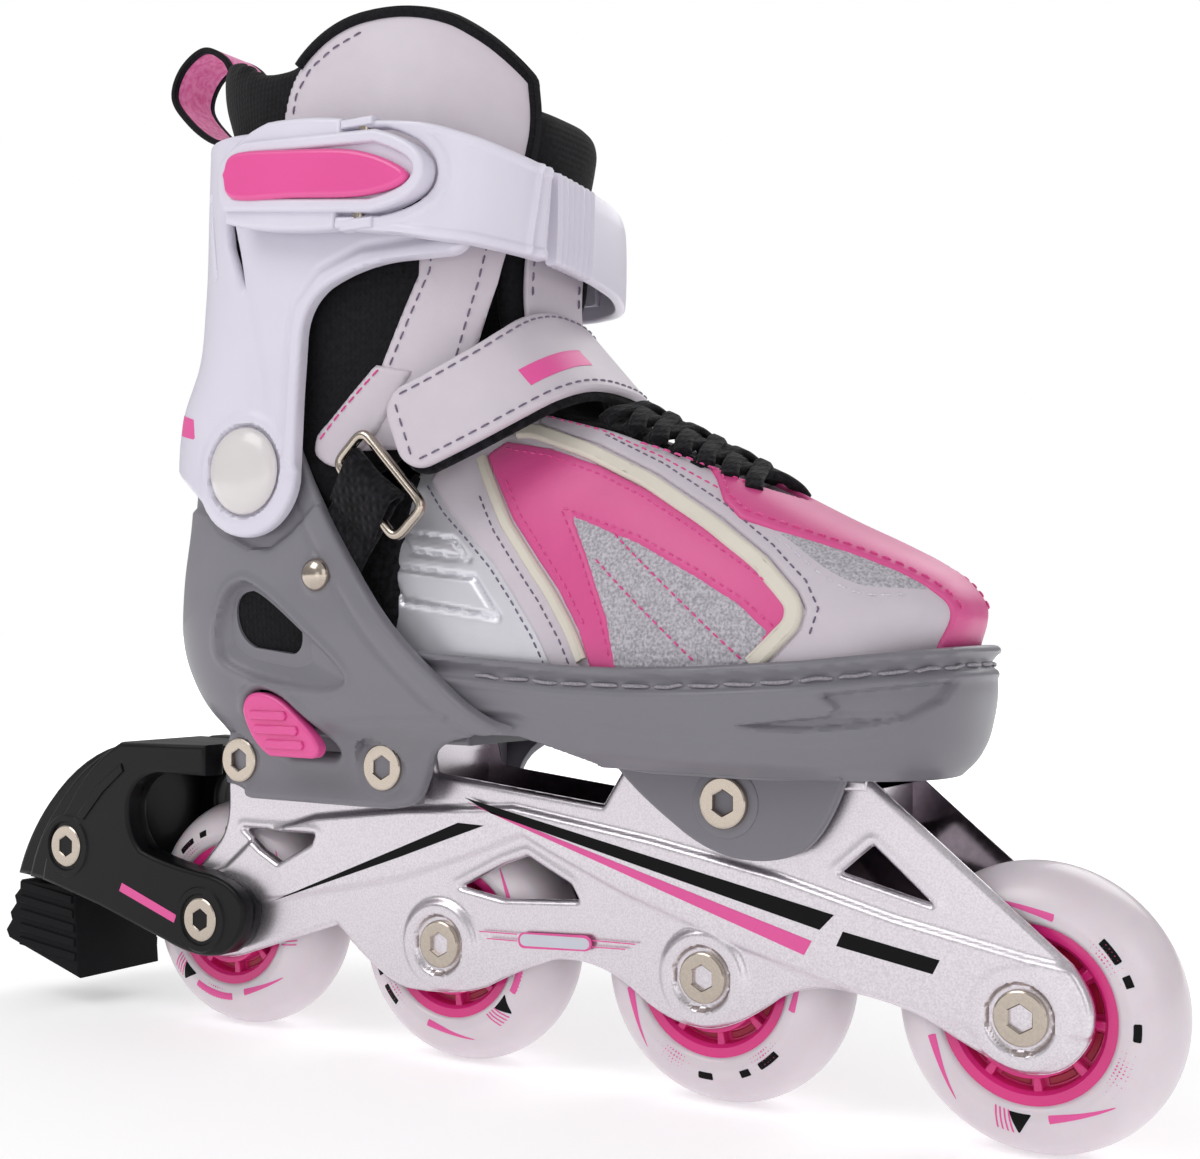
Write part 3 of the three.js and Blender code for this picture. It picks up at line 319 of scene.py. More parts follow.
# A flat plate from outlines in x and z between two y values, with rounded edges; later outlines are holes
def plate(name, outlines, y0, y1, bevel, material, body, segments=3):
    curve = bpy.data.curves.new(name, "CURVE")
    curve.dimensions = "2D"
    curve.fill_mode = "BOTH"
    for points in outlines:
        spline = curve.splines.new("POLY")
        spline.points.add(len(points) - 1)
        spline.points.foreach_set("co", np.column_stack(
            [np.array(points) / 1000, np.zeros(len(points)), np.ones(len(points))]).ravel())
        spline.use_cyclic_u = True
    curve.extrude = (abs(y1 - y0) / 2 - bevel) / 1000
    curve.bevel_depth = bevel / 1000
    curve.bevel_resolution = segments
    curve.offset = -bevel / 1000
    holder = bpy.data.objects.new(name + "_curve", curve)
    scene.collection.objects.link(holder)
    bpy.context.view_layer.update()
    mesh = bpy.data.meshes.new_from_object(holder.evaluated_get(bpy.context.evaluated_depsgraph_get()))
    bpy.data.objects.remove(holder)
    bpy.data.curves.remove(curve)
    local = np.zeros(len(mesh.vertices) * 3)
    mesh.vertices.foreach_get("co", local)
    local = local.reshape(-1, 3) * 1000
    points = np.stack([local[:, 0], (y0 + y1) / 2 - local[:, 2], local[:, 1]], 1)
    faces = [list(p.vertices) for p in mesh.polygons]
    bpy.data.meshes.remove(mesh)
    return makePiece(name, points, faces, material, body)


def block(name, x0, x1, y0, y1, z0, z1, bevel, material, body, slot=None):
    return plate(name, [[(x0, z0), (x1, z0), (x1, z1), (x0, z1)]], y0, y1, bevel, material, body)


# Thread laid along a line as short sewn stitches; out gives the surface's outward direction at each point
def stitches(name, line, material, body, length=2.3, gap=1.0, radius=0.27, lift=0.1, out=None):
    line = np.asarray(line, float)
    steps = np.linalg.norm(np.diff(line, axis=0), axis=1)
    run = np.concatenate([[0], np.cumsum(steps)])
    total = run[-1]
    count = max(1, int(total / (length + gap)))
    points, faces = [], []
    for s in range(count):
        at = (s + 0.5) * total / count
        marks = np.array([-0.5, -0.36, 0, 0.36, 0.5]) * length + at
        centre = np.stack([np.interp(marks, run, line[:, k]) for k in range(3)], 1)
        if out is not None:
            up = np.stack([np.interp(marks, run, out[:, k]) for k in range(3)], 1)
        else:
            up = np.tile([0, -1.0, 0], (5, 1))
        tangent = centre[-1] - centre[0]
        tangent /= max(np.linalg.norm(tangent), 1e-9)
        start = len(points)
        for c, n, sink, size in zip(centre, up, (-0.6, 0.05, 0.3, 0.05, -0.6), (0.5, 0.95, 1, 0.95, 0.5)):
            side = np.cross(tangent, n)
            side /= max(np.linalg.norm(side), 1e-9)
            for k in range(6):
                a = k * math.pi / 3
                points.append(c + n * (lift + radius * sink) + radius * size * (side * math.cos(a) + n * math.sin(a)))
        for r in range(4):
            for k in range(6):
                m = (k + 1) % 6
                faces.append([start + r * 6 + k, start + (r + 1) * 6 + k, start + (r + 1) * 6 + m, start + r * 6 + m])
        faces.append([start + k for k in range(6)])
        faces.append([start + 24 + k for k in reversed(range(6))])
    return makePiece(name, np.array(points), faces, material, body, 60)


# materials

def linear(hexCode):
    values = [int(hexCode[i:i + 2], 16) / 255 for i in (1, 3, 5)]
    return tuple(v / 12.92 if v <= 0.04045 else ((v + 0.055) / 1.055) ** 2.4 for v in values) + (1.0,)


def addNode(tree, kind, settings=None, links=None):
    node = tree.nodes.new("ShaderNode" + kind)
    for key, value in (settings or {}).items():
        if isinstance(key, int) or key in node.inputs:
            node.inputs[key].default_value = value
        else:
            setattr(node, key, value)
    for key, source in (links or {}).items():
        tree.links.new(source, node.inputs[key])
    return node


def newMaterial(name, settings):
    material = bpy.data.materials.new(name)
    material.use_nodes = True
    tree = material.node_tree
    shader = tree.nodes["Principled BSDF"]
    for key, value in settings.items():
        shader.inputs[key].default_value = value
    spot = addNode(tree, "TexCoord").outputs["Object"]
    return material, tree, shader, spot


# Injection moulded plastic: an even colour, a faint flow drift and the fine texture of the tool
def moulded(name, shade, roughness, grainMm=0.35, grainDepth=0.02, drift=0.06, coat=0.0, ior=1.46):
    material, tree, shader, spot = newMaterial(name, {"Roughness": roughness, "IOR": ior, "Coat Weight": coat})
    flow = addNode(tree, "TexNoise", {"Scale": 1000 / 45, "Detail": 3.0}, {"Vector": spot})
    light = addNode(tree, "HueSaturation", {"Color": linear(shade), "Value": 1 + drift})
    dark = addNode(tree, "HueSaturation", {"Color": linear(shade), "Value": 1 - drift})
    mix = addNode(tree, "Mix", {"data_type": "RGBA"},
                  {0: flow.outputs["Fac"], 6: dark.outputs[0], 7: light.outputs[0]})
    tree.links.new(mix.outputs[2], shader.inputs["Base Color"])
    grain = addNode(tree, "TexNoise", {"Scale": 1000 / grainMm, "Detail": 2.0}, {"Vector": spot})
    bump = addNode(tree, "Bump", {"Strength": 0.5, "Distance": grainDepth / 1000},
                   {"Height": grain.outputs["Fac"]})
    tree.links.new(bump.outputs[0], shader.inputs["Normal"])
    wear = addNode(tree, "MapRange", {"To Min": roughness - 0.05, "To Max": roughness + 0.07},
                   {"Value": flow.outputs["Fac"]})
    tree.links.new(wear.outputs[0], shader.inputs["Roughness"])
    return material


# Metal under its finish: plating or clear coat over a grain that breaks up the reflections
def metalFinish(name, shade, roughness, grainMm, grainDepth, spread=0.12, coat=0.0, tint=0.12):
    material, tree, shader, spot = newMaterial(name, {"Metallic": 1.0, "Coat Weight": coat, "Coat Roughness": 0.12})
    grain = addNode(tree, "TexNoise", {"Scale": 1000 / grainMm, "Detail": 3.0}, {"Vector": spot})
    light = addNode(tree, "HueSaturation", {"Color": linear(shade), "Value": 1 + tint})
    dark = addNode(tree, "HueSaturation", {"Color": linear(shade), "Value": 1 - tint})
    sharper = addNode(tree, "MapRange", {"From Min": 0.35, "From Max": 0.65}, {"Value": grain.outputs["Fac"]})
    mix = addNode(tree, "Mix", {"data_type": "RGBA"},
                  {0: sharper.outputs[0], 6: dark.outputs[0], 7: light.outputs[0]})
    tree.links.new(mix.outputs[2], shader.inputs["Base Color"])
    rough = addNode(tree, "MapRange", {"To Min": roughness - spread / 2, "To Max": roughness + spread / 2},
                    {"Value": grain.outputs["Fac"]})
    tree.links.new(rough.outputs[0], shader.inputs["Roughness"])
    bump = addNode(tree, "Bump", {"Strength": 0.6, "Distance": grainDepth / 1000},
                   {"Height": grain.outputs["Fac"]})
    tree.links.new(bump.outputs[0], shader.inputs["Normal"])
    return material


# Synthetic leather: a coated skin with a fine pebble of pores and a soft, slightly uneven tone
def coatedLeather(name, shade, roughness, metallic=0.0, poreMm=0.9, depth=0.05, sheen=0.0):
    material, tree, shader, spot = newMaterial(
        name, {"Roughness": roughness, "Metallic": metallic, "IOR": 1.5, "Sheen Weight": sheen})
    pores = addNode(tree, "TexVoronoi", {"Scale": 1000 / poreMm}, {"Vector": spot})
    crease = addNode(tree, "TexNoise", {"Scale": 1000 / 9, "Detail": 4.0}, {"Vector": spot})
    light = addNode(tree, "HueSaturation", {"Color": linear(shade), "Value": 1.05})
    dark = addNode(tree, "HueSaturation", {"Color": linear(shade), "Value": 0.93})
    mix = addNode(tree, "Mix", {"data_type": "RGBA"},
                  {0: crease.outputs["Fac"], 6: dark.outputs[0], 7: light.outputs[0]})
    tree.links.new(mix.outputs[2], shader.inputs["Base Color"])
    height = addNode(tree, "Math", {"operation": "MULTIPLY_ADD", 1: 0.6},
                     {0: pores.outputs["Distance"], 2: crease.outputs["Fac"]})
    bump = addNode(tree, "Bump", {"Strength": 0.7, "Distance": depth / 1000}, {"Height": height.outputs[0]})
    tree.links.new(bump.outputs[0], shader.inputs["Normal"])
    return material


# Cloth: two crossing thread waves give the weave, and a noise gives the uneven yarn
def woven(name, shade, other, threadMm, depth=0.15, roughness=0.85, contrast=0.5, sheen=0.3, speckleMm=None):
    material, tree, shader, spot = newMaterial(
        name, {"Roughness": roughness, "IOR": 1.5, "Sheen Weight": sheen, "Sheen Roughness": 0.5})
    scale = 1000 / threadMm / 6.2832
    warp = addNode(tree, "TexWave", {"bands_direction": "X", "Scale": scale, "Distortion": 0.6}, {"Vector": spot})
    weft = addNode(tree, "TexWave", {"bands_direction": "Z", "Scale": scale, "Distortion": 0.6}, {"Vector": spot})
    weave = addNode(tree, "Math", {"operation": "MULTIPLY"}, {0: warp.outputs["Fac"], 1: weft.outputs["Fac"]})
    yarn = addNode(tree, "TexNoise", {"Scale": 1000 / (speckleMm or threadMm * 1.6), "Detail": 2.0},
                   {"Vector": spot})
    tone = addNode(tree, "MapRange", {"From Min": 0.5 - 0.32 * (1 - contrast),
                                                "From Max": 0.5 + 0.32 * (1 - contrast)},
                   {"Value": yarn.outputs["Fac"]})
    mix = addNode(tree, "Mix", {"data_type": "RGBA", 6: linear(shade), 7: linear(other)}, {0: tone.outputs[0]})
    tree.links.new(mix.outputs[2], shader.inputs["Base Color"])
    height = addNode(tree, "Math", {"operation": "ADD"}, {0: weave.outputs[0], 1: yarn.outputs["Fac"]})
    bump = addNode(tree, "Bump", {"Strength": 0.8, "Distance": depth / 1000}, {"Height": height.outputs[0]})
    tree.links.new(bump.outputs[0], shader.inputs["Normal"])
    return material


lilacPolymer = moulded("lilac moulded polypropylene", "#D2CEDB", 0.36, coat=0.12)  # cuff and straps: satin, cool white
# shells: flat grey with a fine tool grain
greyPolymer = moulded("grey moulded polypropylene", "#75737A", 0.4, grainMm=0.5, grainDepth=0.03, coat=0.08)
# lever insert and size button: bright and satin
pinkPolymer = moulded("pink moulded ABS", "#DC4C93", 0.32, coat=0.15, ior=1.53)
windowPaintedShade = moulded("magenta window painted shade", "#A3143C", 0.3)  # darker magenta as painted shade in the pockets between the hub ribs
hubPolymer = moulded("magenta moulded nylon", "#D92C80", 0.3, coat=0.2, ior=1.53)  # wheel cores, slightly glassy
blackPolymer = moulded("black moulded nylon", "#0B0A0D", 0.4, coat=0.05, ior=1.53)  # brake arm: deep black, almost no glare
blackRubber = moulded("black brake rubber", "#121114", 0.72, grainMm=0.8, grainDepth=0.06)  # brake block: dry and matt
pearlPolymer = moulded("pearl lacquered cap", "#D2CDCD", 0.24, coat=0.5)  # pivot caps: a pale gloss under lacquer
# frame: a silver sparkle under clear coat
castAluminium = metalFinish("cast aluminium, clear coated", "#D8D2D8", 0.33, 0.45, 0.03, spread=0.16, coat=0.35, tint=0.1)
# inner plate: darkened as painted shade, with clear reflections
innerPlatePaintedShade = metalFinish("polished inner plate, painted shade", "#6E646C", 0.12, 2.0, 0.01, coat=0.4)
# bolts and wire: warm bright metal
nickelPlate = metalFinish("nickel plated steel", "#B9AEA2", 0.2, 0.6, 0.008, spread=0.1, tint=0.05)
printBlack = moulded("black pad print", "#040305", 0.55)  # printed marks: dull ink
printPink = moulded("pink pad print", "#DE5499", 0.4)  # printed marks: dull pink ink
threadGrey = woven("grey sewing thread", "#5A4E63", "#7B6E86", 0.3, 0.03)  # dark seam on the white panels
threadPink = woven("pink sewing thread", "#C72C7C", "#E0559A", 0.3, 0.03)  # darker than the leather, so the seam reads
threadTray = woven("grey waxed thread", "#7C7780", "#9D98A1", 0.3, 0.03)  # thick waxed stitch round the tray
threadPale = woven("pale sewing thread", "#B9B3BE", "#D5D0DA", 0.3, 0.03)  # almost lost in the white leather
whiteLeather = coatedLeather("white coated leather", "#C6BDC6", 0.46)  # lilac white with soft pores
# heel quarter: a metallic glint
silverLeather = coatedLeather("silver coated leather", "#DCDBE2", 0.36, metallic=0.5, poreMm=0.6, depth=0.03)
pinkLeather = coatedLeather("pink coated leather", "#CF4C8A", 0.42)  # overlays: even pink, soft sheen
creamPiping = coatedLeather("cream piping", "#D2CBBF", 0.55, poreMm=0.6)  # warm edge between pink and white
# speckle in place of the 0.5 mm knit, coarser than real
greyMesh = woven("grey speckled mesh", "#908D95", "#BEBAC2", 0.9, 0.3, contrast=0.5, speckleMm=0.7)
blackKnit = woven("black knit over foam", "#08070A", "#131216", 0.8, 0.12, sheen=0.04)  # liner: absorbs the light
# brushed loops, ragged highlights
blackWebbing = woven("black brushed webbing", "#08070A", "#19171C", 1.2, 0.35, roughness=0.95, contrast=0.7, sheen=0.06)
blackBinding = woven("black binding tape", "#0B0A0D", "#17151A", 0.5, 0.06, sheen=0.04)  # thin smooth tape at the edges
pinkWebbing = woven("pink webbing", "#D9619F", "#E88BBB", 1.0, 0.15, sheen=0.2)  # pull loop: ribbed tape with some sheen
blackLace = woven("black braided lace", "#09080A", "#1B191E", 0.7, 0.2, sheen=0.06)  # lace: flat braid


# Pale cast urethane: soft, slightly cloudy and letting a little light into the surface
def castUrethane():
    material, tree, shader, spot = newMaterial("pale cast urethane", {
        "Roughness": 0.3, "IOR": 1.5, "Subsurface Weight": 0.25, "Subsurface Scale": 0.004, "Coat Weight": 0.1})
    cloud = addNode(tree, "TexNoise", {"Scale": 1000 / 14, "Detail": 3.0}, {"Vector": spot})
    mix = addNode(tree, "Mix", {"data_type": "RGBA", 6: linear("#D2C7CE"), 7: linear("#E0D7DD")},
                  {0: cloud.outputs["Fac"]})
    tree.links.new(mix.outputs[2], shader.inputs["Base Color"])
    fine = addNode(tree, "TexNoise", {"Scale": 1000 / 0.7}, {"Vector": spot})
    bump = addNode(tree, "Bump", {"Strength": 0.4, "Distance": 0.00002}, {"Height": fine.outputs["Fac"]})
    tree.links.new(bump.outputs[0], shader.inputs["Normal"])
    return material


paleUrethane = castUrethane()
for dull in (blackPolymer, printBlack, blackKnit, blackWebbing, blackBinding, blackLace, blackRubber):
    dull.node_tree.nodes["Principled BSDF"].inputs["Specular IOR Level"].default_value = 0.18
print("materials made")


# camera and studio

cameraData = bpy.data.cameras.new("camera")
cameraData.lens = 52.96
cameraData.sensor_width = 36
cameraData.clip_start = 0.01
camera = bpy.data.objects.new("camera", cameraData)
scene.collection.objects.link(camera)
aim = {"yaw": 30.94, "up": 1.20, "roll": 0.55, "from": (231.8, -386.9, 117.0)}
yaw, up, roll = (math.radians(aim[k]) for k in ("yaw", "up", "roll"))
ahead = Vector((-math.sin(yaw) * math.cos(up), math.cos(yaw) * math.cos(up), math.sin(up)))
right = Vector((math.cos(yaw), math.sin(yaw), 0))
above = right.cross(ahead)
rightRolled = right * math.cos(roll) + above * math.sin(roll)
aboveRolled = above * math.cos(roll) - right * math.sin(roll)
turned = Matrix((rightRolled, aboveRolled, -ahead)).transposed().to_4x4()
turned.translation = Vector((np.array(aim["from"]) + shift) / 1000)
camera.matrix_world = turned
bpy.context.scene.camera = camera


def studio():
    material, tree, shader, spot = newMaterial("pale studio floor", {"Roughness": 0.75, "Base Color": linear("#F4F3F4")})
    cloud = addNode(tree, "TexNoise", {"Scale": 3.0}, {"Vector": spot})
    mix = addNode(tree, "Mix", {"data_type": "RGBA", 6: linear("#F1F0F1"), 7: linear("#F6F5F6")},
                  {0: cloud.outputs["Fac"]})
    tree.links.new(mix.outputs[2], shader.inputs["Base Color"])
    mesh = bpy.data.meshes.new("floor")
    mesh.from_pydata([(-6, -6, 0), (6, -6, 0), (6, 6, 0), (-6, 6, 0)], [], [(0, 1, 2, 3)])
    mesh.materials.append(material)
    shader.inputs["Emission Color"].default_value = (1, 1, 1, 1)
    away = addNode(tree, "VectorMath", {"operation": "LENGTH"}, {"Vector": spot}).outputs["Value"]
    glow = addNode(tree, "MapRange", {"From Min": 0.3, "From Max": 1.4, "To Min": 0.36, "To Max": 1.0},
                   {"Value": away})
    tree.links.new(glow.outputs[0], shader.inputs["Emission Strength"])  # a light table: pale below the skate, white far away
    floor = bpy.data.objects.new("floor", mesh)
    scene.collection.objects.link(floor)
    world = bpy.data.worlds.new("studio")
    scene.world = world
    world.use_nodes = True
    world.node_tree.nodes["Background"].inputs["Color"].default_value = (1, 1, 1, 1)
    seen = addNode(world.node_tree, "LightPath").outputs["Is Camera Ray"]
    way = addNode(world.node_tree, "TexCoord").outputs["Generated"]
    height = addNode(world.node_tree, "SeparateXYZ", {}, {"Vector": way}).outputs["Z"]
    glow = addNode(world.node_tree, "MapRange", {"From Min": -0.25, "From Max": 0.6, "To Min": 0.23, "To Max": 0.53},
                   {"Value": height}).outputs[0]  # brighter overhead than at eye level, so metals show light and dark
    strength = addNode(world.node_tree, "MapRange", {"To Max": 1.0}, {"Value": seen, "To Min": glow})
    world.node_tree.links.new(strength.outputs[0], world.node_tree.nodes["Background"].inputs["Strength"])
    scene.view_settings.view_transform = "Standard"  # keeps the plastic's own colours
    lamps = {
        # name: (place, size, power)
        "key": ((-0.5, -1.0, 1.15), 0.8, 6.7),
        "fill": ((1.1, -0.7, 0.5), 0.8, 2.1),
        "back": ((0.2, 1.1, 0.9), 0.8, 4.8),
        "low": ((0.1, -1.1, 0.12), 0.5, 0.6),
    }
    for name, (place, size, power) in lamps.items():
        data = bpy.data.lights.new(name, "AREA")
        data.size = size
        data.energy = power
        lamp = bpy.data.objects.new(name, data)
        lamp.location = place
        lamp.rotation_euler = (Vector((0, 0, 0.13)) - Vector(place)).to_track_quat("-Z", "Y").to_euler()
        scene.collection.objects.link(lamp)


studio()
print("camera and studio set")


# wheels, bearings and bolts

wheel = {"radius": 32.0, "half": 12.0, "core": 20.0}


def tyreY(r):  # Half width of the tyre at a radius
    flank = np.interp(r, [19.5, 20.2, 22.6], [10.4, 11.3, 11.8])
    edge = wheel["half"] * np.sqrt(np.maximum(1 - (np.maximum(r - 20.5, 0) / 11.5) ** 2.3, 0))
    return np.minimum(flank, np.maximum(edge, 0))


def makeWheel(number, x):
    body = f"wheel_{number}"
    radii = np.concatenate([[19.6, 20.1], np.linspace(20.6, 31.2, 22), [31.6, 31.85, 31.97, 32.0]])
    profile = [(r, -float(tyreY(r))) for r in radii] + [(r, float(tyreY(r))) for r in radii[-2::-1]]
    profile += [(19.2, 9.6), (19.2, -9.6)]
    tyre = turn(f"tyre_{number}_cast", profile, x, 32, paleUrethane, body, 96, 50, closed=True)
    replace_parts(tyre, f"tyre_{number}")
    core = [(11.0, -11.6), (11.6, -11.9), (13.0, -11.9), (13.5, -11.4), (13.8, -6.9), (16.2, -6.9), (16.6, -9.4),
            (17.4, -10.3), (19.6, -10.5), (19.9, -10.1), (19.9, 10.1), (19.6, 10.5), (17.4, 10.3), (16.6, 9.4),
            (16.2, 6.9), (13.8, 6.9), (13.5, 11.4), (13.0, 11.9), (11.6, 11.9), (11.0, 11.6)]
    hub = turn(f"hub_{number}_core", core, x, 32, hubPolymer, body, 72, 32, closed=True)
    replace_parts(hub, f"hub_{number}")
    for side, name in bothSides:
        for k in range(9):
            a = k * 2 * math.pi / 9 + 0.3
            angles = np.linspace(a - 0.22, a + 0.22, 7)
            ring = [(x + 15.9 * math.cos(t), 32 + 15.9 * math.sin(t)) for t in angles]
            ring += [(x + 14.1 * math.cos(t), 32 + 14.1 * math.sin(t)) for t in angles[::-1]]
            # window plates: their darker magenta is painted shade in the pockets
            plate(f"hub_{number}_window_{name}_{k + 1}", [ring], side * 6.2, side * 7.15, 0.3, windowPaintedShade, body,
                  2)
        for k in range(9):
            a = k * 2 * math.pi / 9 + 0.3 + math.pi / 9
            c, s = math.cos(a), math.sin(a)
            quad = [(x + r * c - w * s, 32 + r * s + w * c) for r, w in ((13.2, -0.8), (17.2, -1.1), (17.2, 1.1), (13.2, 0.8))]
            plate(f"hub_{number}_rib_{name}_{k + 1}", [quad], side * 6.5, side * 9.4, 0.4, hubPolymer, body, 2)
        rings = [(4.2, side * 11.5), (5.4, side * 11.85), (6.6, side * 11.85), (6.8, side * 11.6), (9.4, side * 11.6),
                 (9.6, side * 11.85), (10.7, side * 11.85), (10.95, side * 11.6), (10.95, side * 5.0), (4.2, side * 5.0)]
        bearing = turn(f"bearing_{name}_{number}_ring", rings, x, 32, nickelPlate, body, 48, 30, closed=True)
        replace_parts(bearing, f"bearing_{name}_{number}")
        printWheel(number, x, side, name, body)


# Generic printed marks on the flank of the tyre: halftone dots, swooshes, fine lines and small wedges
def printWheel(number, x, side, name, body):
    angles = np.linspace(0, 2 * math.pi, 420, endpoint=False)
    radii = np.linspace(20.8, 27.6, 26)
    a, r = np.meshgrid(angles, radii, indexing="ij")
    grid = np.stack([x + r * np.cos(a), side * tyreY(r), 32 + r * np.sin(a)], 2)
    start = 1.57 * number + 0.35

    def turnOf(px, pz):
        return np.mod(np.arctan2(pz - 32, px - x) - start, 2 * math.pi), np.hypot(px - x, pz - 32)

    def pinkField(px, py, pz):
        t, r = turnOf(px, pz)
        best = np.full(t.shape, -1.0)
        for sweepStart in (0.95, 3.1, 4.6):
            along = (t - sweepStart) / 0.62
            mid = 22.2 + 3.6 * along ** 2
            best = np.maximum(best, np.where((along > 0) & (along < 1),
                                             0.85 * np.clip(1 - along, 0, None) ** 0.7 + 0.05 - np.abs(r - mid), -1))
        for c in (1.9, 4.1):
            for k in range(4):
                offset = (t - c - 0.045 * k) * r
                best = np.maximum(best, np.minimum(0.22 - np.abs(offset - (r - 24) * 0.35), 2.4 - np.abs(r - 23.4)))
        for c in (0.35, 2.6, 5.5):
            cell = 0.95
            u = ((t - c) * 24) / cell
            v = (r - 21.2) / cell
            du = u - np.round(u)
            dv = v - np.round(v)
            size = 0.3 * np.clip(1 - np.abs(t - c) / 0.42, 0, 1) * np.clip(1.25 - (r - 21.2) / 5.2, 0, 1)
            best = np.maximum(best, np.where(size > 0.05, size * cell - np.hypot(du, dv) * cell, -1))
        block = np.minimum(0.3 - np.abs(t - 2.6), 0.95 - np.abs(r - 22.9))
        return np.maximum(best, np.where(np.abs(t - 2.6) < 0.3, np.minimum(block * 20, 0.95 - np.abs(r - 22.9)), -1))

    def blackField(px, py, pz):
        t, r = turnOf(px, pz)
        best = np.full(t.shape, -1.0)
        for c in (1.99, 4.19):
            offset = np.abs(t - c - 0.12) * r
            best = np.maximum(best, np.minimum((25.8 - r) * 0.55 - offset, r - 21.2))
        return best

    def markLength(c, half, low=23.0, high=24.7):
        def field(px, py, pz):
            t, r = turnOf(px, pz)
            return np.minimum(np.minimum((half - np.abs(t - c)) * r, r - low), high - r)
        return field

    flip = side < 0
    for label, field, material in (("pink", pinkField, printPink), ("black", blackField, printBlack),
                                   ("bar_1", markLength(0.02, 0.1), printBlack), ("bar_2", markLength(0.36, 0.12), printBlack),
                                   ("bar_3", markLength(5.9, 0.08), printBlack)):
        skin(f"tyre_{number}_{name}_print_{label}", grid, field, material, body, thickness=0.12, rounding=0.0, lift=0.05,
             flip=flip, closed=True, slot="wheel_tyre")


# A button-edged socket head: the outer face at side * face, with a hexagonal well
def socketHead(name, x, z, side, face, depth, material, body, radius=6.1, hexHalf=2.65, replaced=None, shaft=3.0, inner=None):
    def hexagon(angles):
        return hexHalf / np.cos(np.mod(angles + math.pi / 6, math.pi / 3) - math.pi / 6)
    rings = []
    if inner is not None:
        rings += [(0.3, side * inner), (shaft, side * inner), (shaft, side * (face - depth))]
    rings += [(radius, side * (face - depth)), (radius, side * (face - 0.55)), (radius - 0.16, side * (face - 0.2)),
              (radius - 0.5, side * face), (radius - 1.5, side * (face + 0.02)), (lambda a: hexagon(a) + 0.25, side * face),
              (hexagon, side * (face - 0.25)), (hexagon, side * (face - 2.2)), (0.2, side * (face - 2.5))]
    bolt = turn(name, rings, x, z, material, body, 72, 26)
    if replaced:
        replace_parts(bolt, replaced)
    return bolt


for number, x in enumerate(wheelXs, 1):
    makeWheel(number, x)
    face = 22.8 if number == 1 else 15.9
    socketHead(f"axle_{number}_head_near", x, 32, -1, face, 1.3, nickelPlate, "chassis", replaced=f"axle_bolt_{number}",
               shaft=3.9, inner=-8.0)
    socketHead(f"axle_{number}_head_far", x, 32, 1, face, 1.3, nickelPlate, "chassis", replaced=f"axle_nut_{number}",
               shaft=3.9, inner=8.3)
for place, x, z, face, body in (("rear", -100, 77, 24.2, "chassis"), ("front", -51, 77.5, 24.2, "chassis")):
    socketHead(f"heel_{place}_head_near", x, z, -1, face, 1.5, nickelPlate, body, replaced=f"heel_bolt_{place}", inner=-1.0)
    socketHead(f"heel_{place}_head_far", x, z, 1, face, 1.5, nickelPlate, body, replaced=f"heel_nut_{place}", inner=1.3)
socketHead("toe_head_near", 46.3, 74.2, -1, 21.8, 1.7, nickelPlate, "toe", replaced="toe_bolt", inner=-1.0)
socketHead("toe_head_far", 46.3, 74.2, 1, 21.8, 1.7, nickelPlate, "toe", replaced="toe_nut", inner=1.3)
socketHead("brake_head_near", -168, 48.4, -1, 22.8, 1.3, nickelPlate, "chassis", replaced="brake_bolt", inner=-1.0)
socketHead("brake_head_far", -168, 48.4, 1, 22.8, 1.3, nickelPlate, "chassis", replaced="brake_nut", inner=1.3)
print("wheels and bolts made")


# frame

plateEdge = outline(
    (80, 80.8), (126, 44), (132.5, 36, 129.5, 29), (125.5, 20, 116, 20), (110, 20.5, 97, 27), (88, 31.5, 76, 32.5), (66,
    34, 58, 29.5), (46, 20, 38, 19.8), (28, 19.5, 18, 27), (8, 33.5, -4, 31.5), (-14, 28, -24, 22.5), (-34, 18.5, -50,
    19.3), (-58, 20.5, -73, 33.5), (-106, 22), (-118, 18, -125, 25), (-130, 33, -124, 44), (-115, 54), (-111.5, 59,
    -112.5, 68), (-112, 83.7), (-42, 83.7), (-40, 76), (10, 71), (13, 76, 16, 80.8))
plateHoles = [outline((-106, 57), (-80, 57.3), (-81, 55), (-92.5, 48.8), (-99, 52)),
              outline((73, 59.6), (80.5, 66.2), (94.5, 54.4)),
              outline((-32, 47.3), (-19, 54), (-12, 56.6), (1, 50.5), (3.2, 47), (-19, 45.4))]
beamEdge = outline(
    (-128, 40), (-106, 36), (-50.6, 48), (-30.7, 55.1), (-13, 62.1), (-5, 58.5), (16.9, 49.9), (49.4, 39.9), (75.1,
    33.6), (105.3, 28.4), (140, 30), (140, 42), (116, 45), (85.7, 50.6), (57.3, 57.6), (24.2, 63.4), (-15.8, 68.8),
    (-50, 66), (-80, 62), (-100, 56), (-112, 46))


frameWall = {"thickness": 2.4, "rounding": 1.7}


def framePlate(side, name):
    xs = np.arange(-131, 135, 0.55)
    zs = np.arange(18, 85, 0.55)
    px, pz = np.meshgrid(xs, zs, indexing="ij")
    grid = np.stack([px, np.full(px.shape, side * 16.0), pz], 2)

    def field(a, y, b):
        f = inside(plateEdge, a, b)
        for hole in plateHoles:
            f = np.minimum(f, -inside(hole, a, b))
        return f

    def relief(a, y, b):
        up = 1.25 * smoothStep(-0.9, 0.9, inside(beamEdge, a, b)) - 1.1
        for x in wheelXs:
            r = np.hypot(a - x, b - 32)
            up = up + (0.3 - up) * (1 - smoothStep(10.2, 12.2, r))
            up = up + (-1.3 - up) * (1 - smoothStep(7.1, 7.9, r))
        for hole in plateHoles:
            up = up + 0.3 * (1 - smoothStep(0.5, 3.5, np.abs(inside(hole, a, b))))
        return up

    wall = skin(f"frame_plate_{name}", grid, field, castAluminium, "chassis", **frameWall, relief=relief,
                flip=side > 0, slot="frame_metal", sharp=48)
    return wall


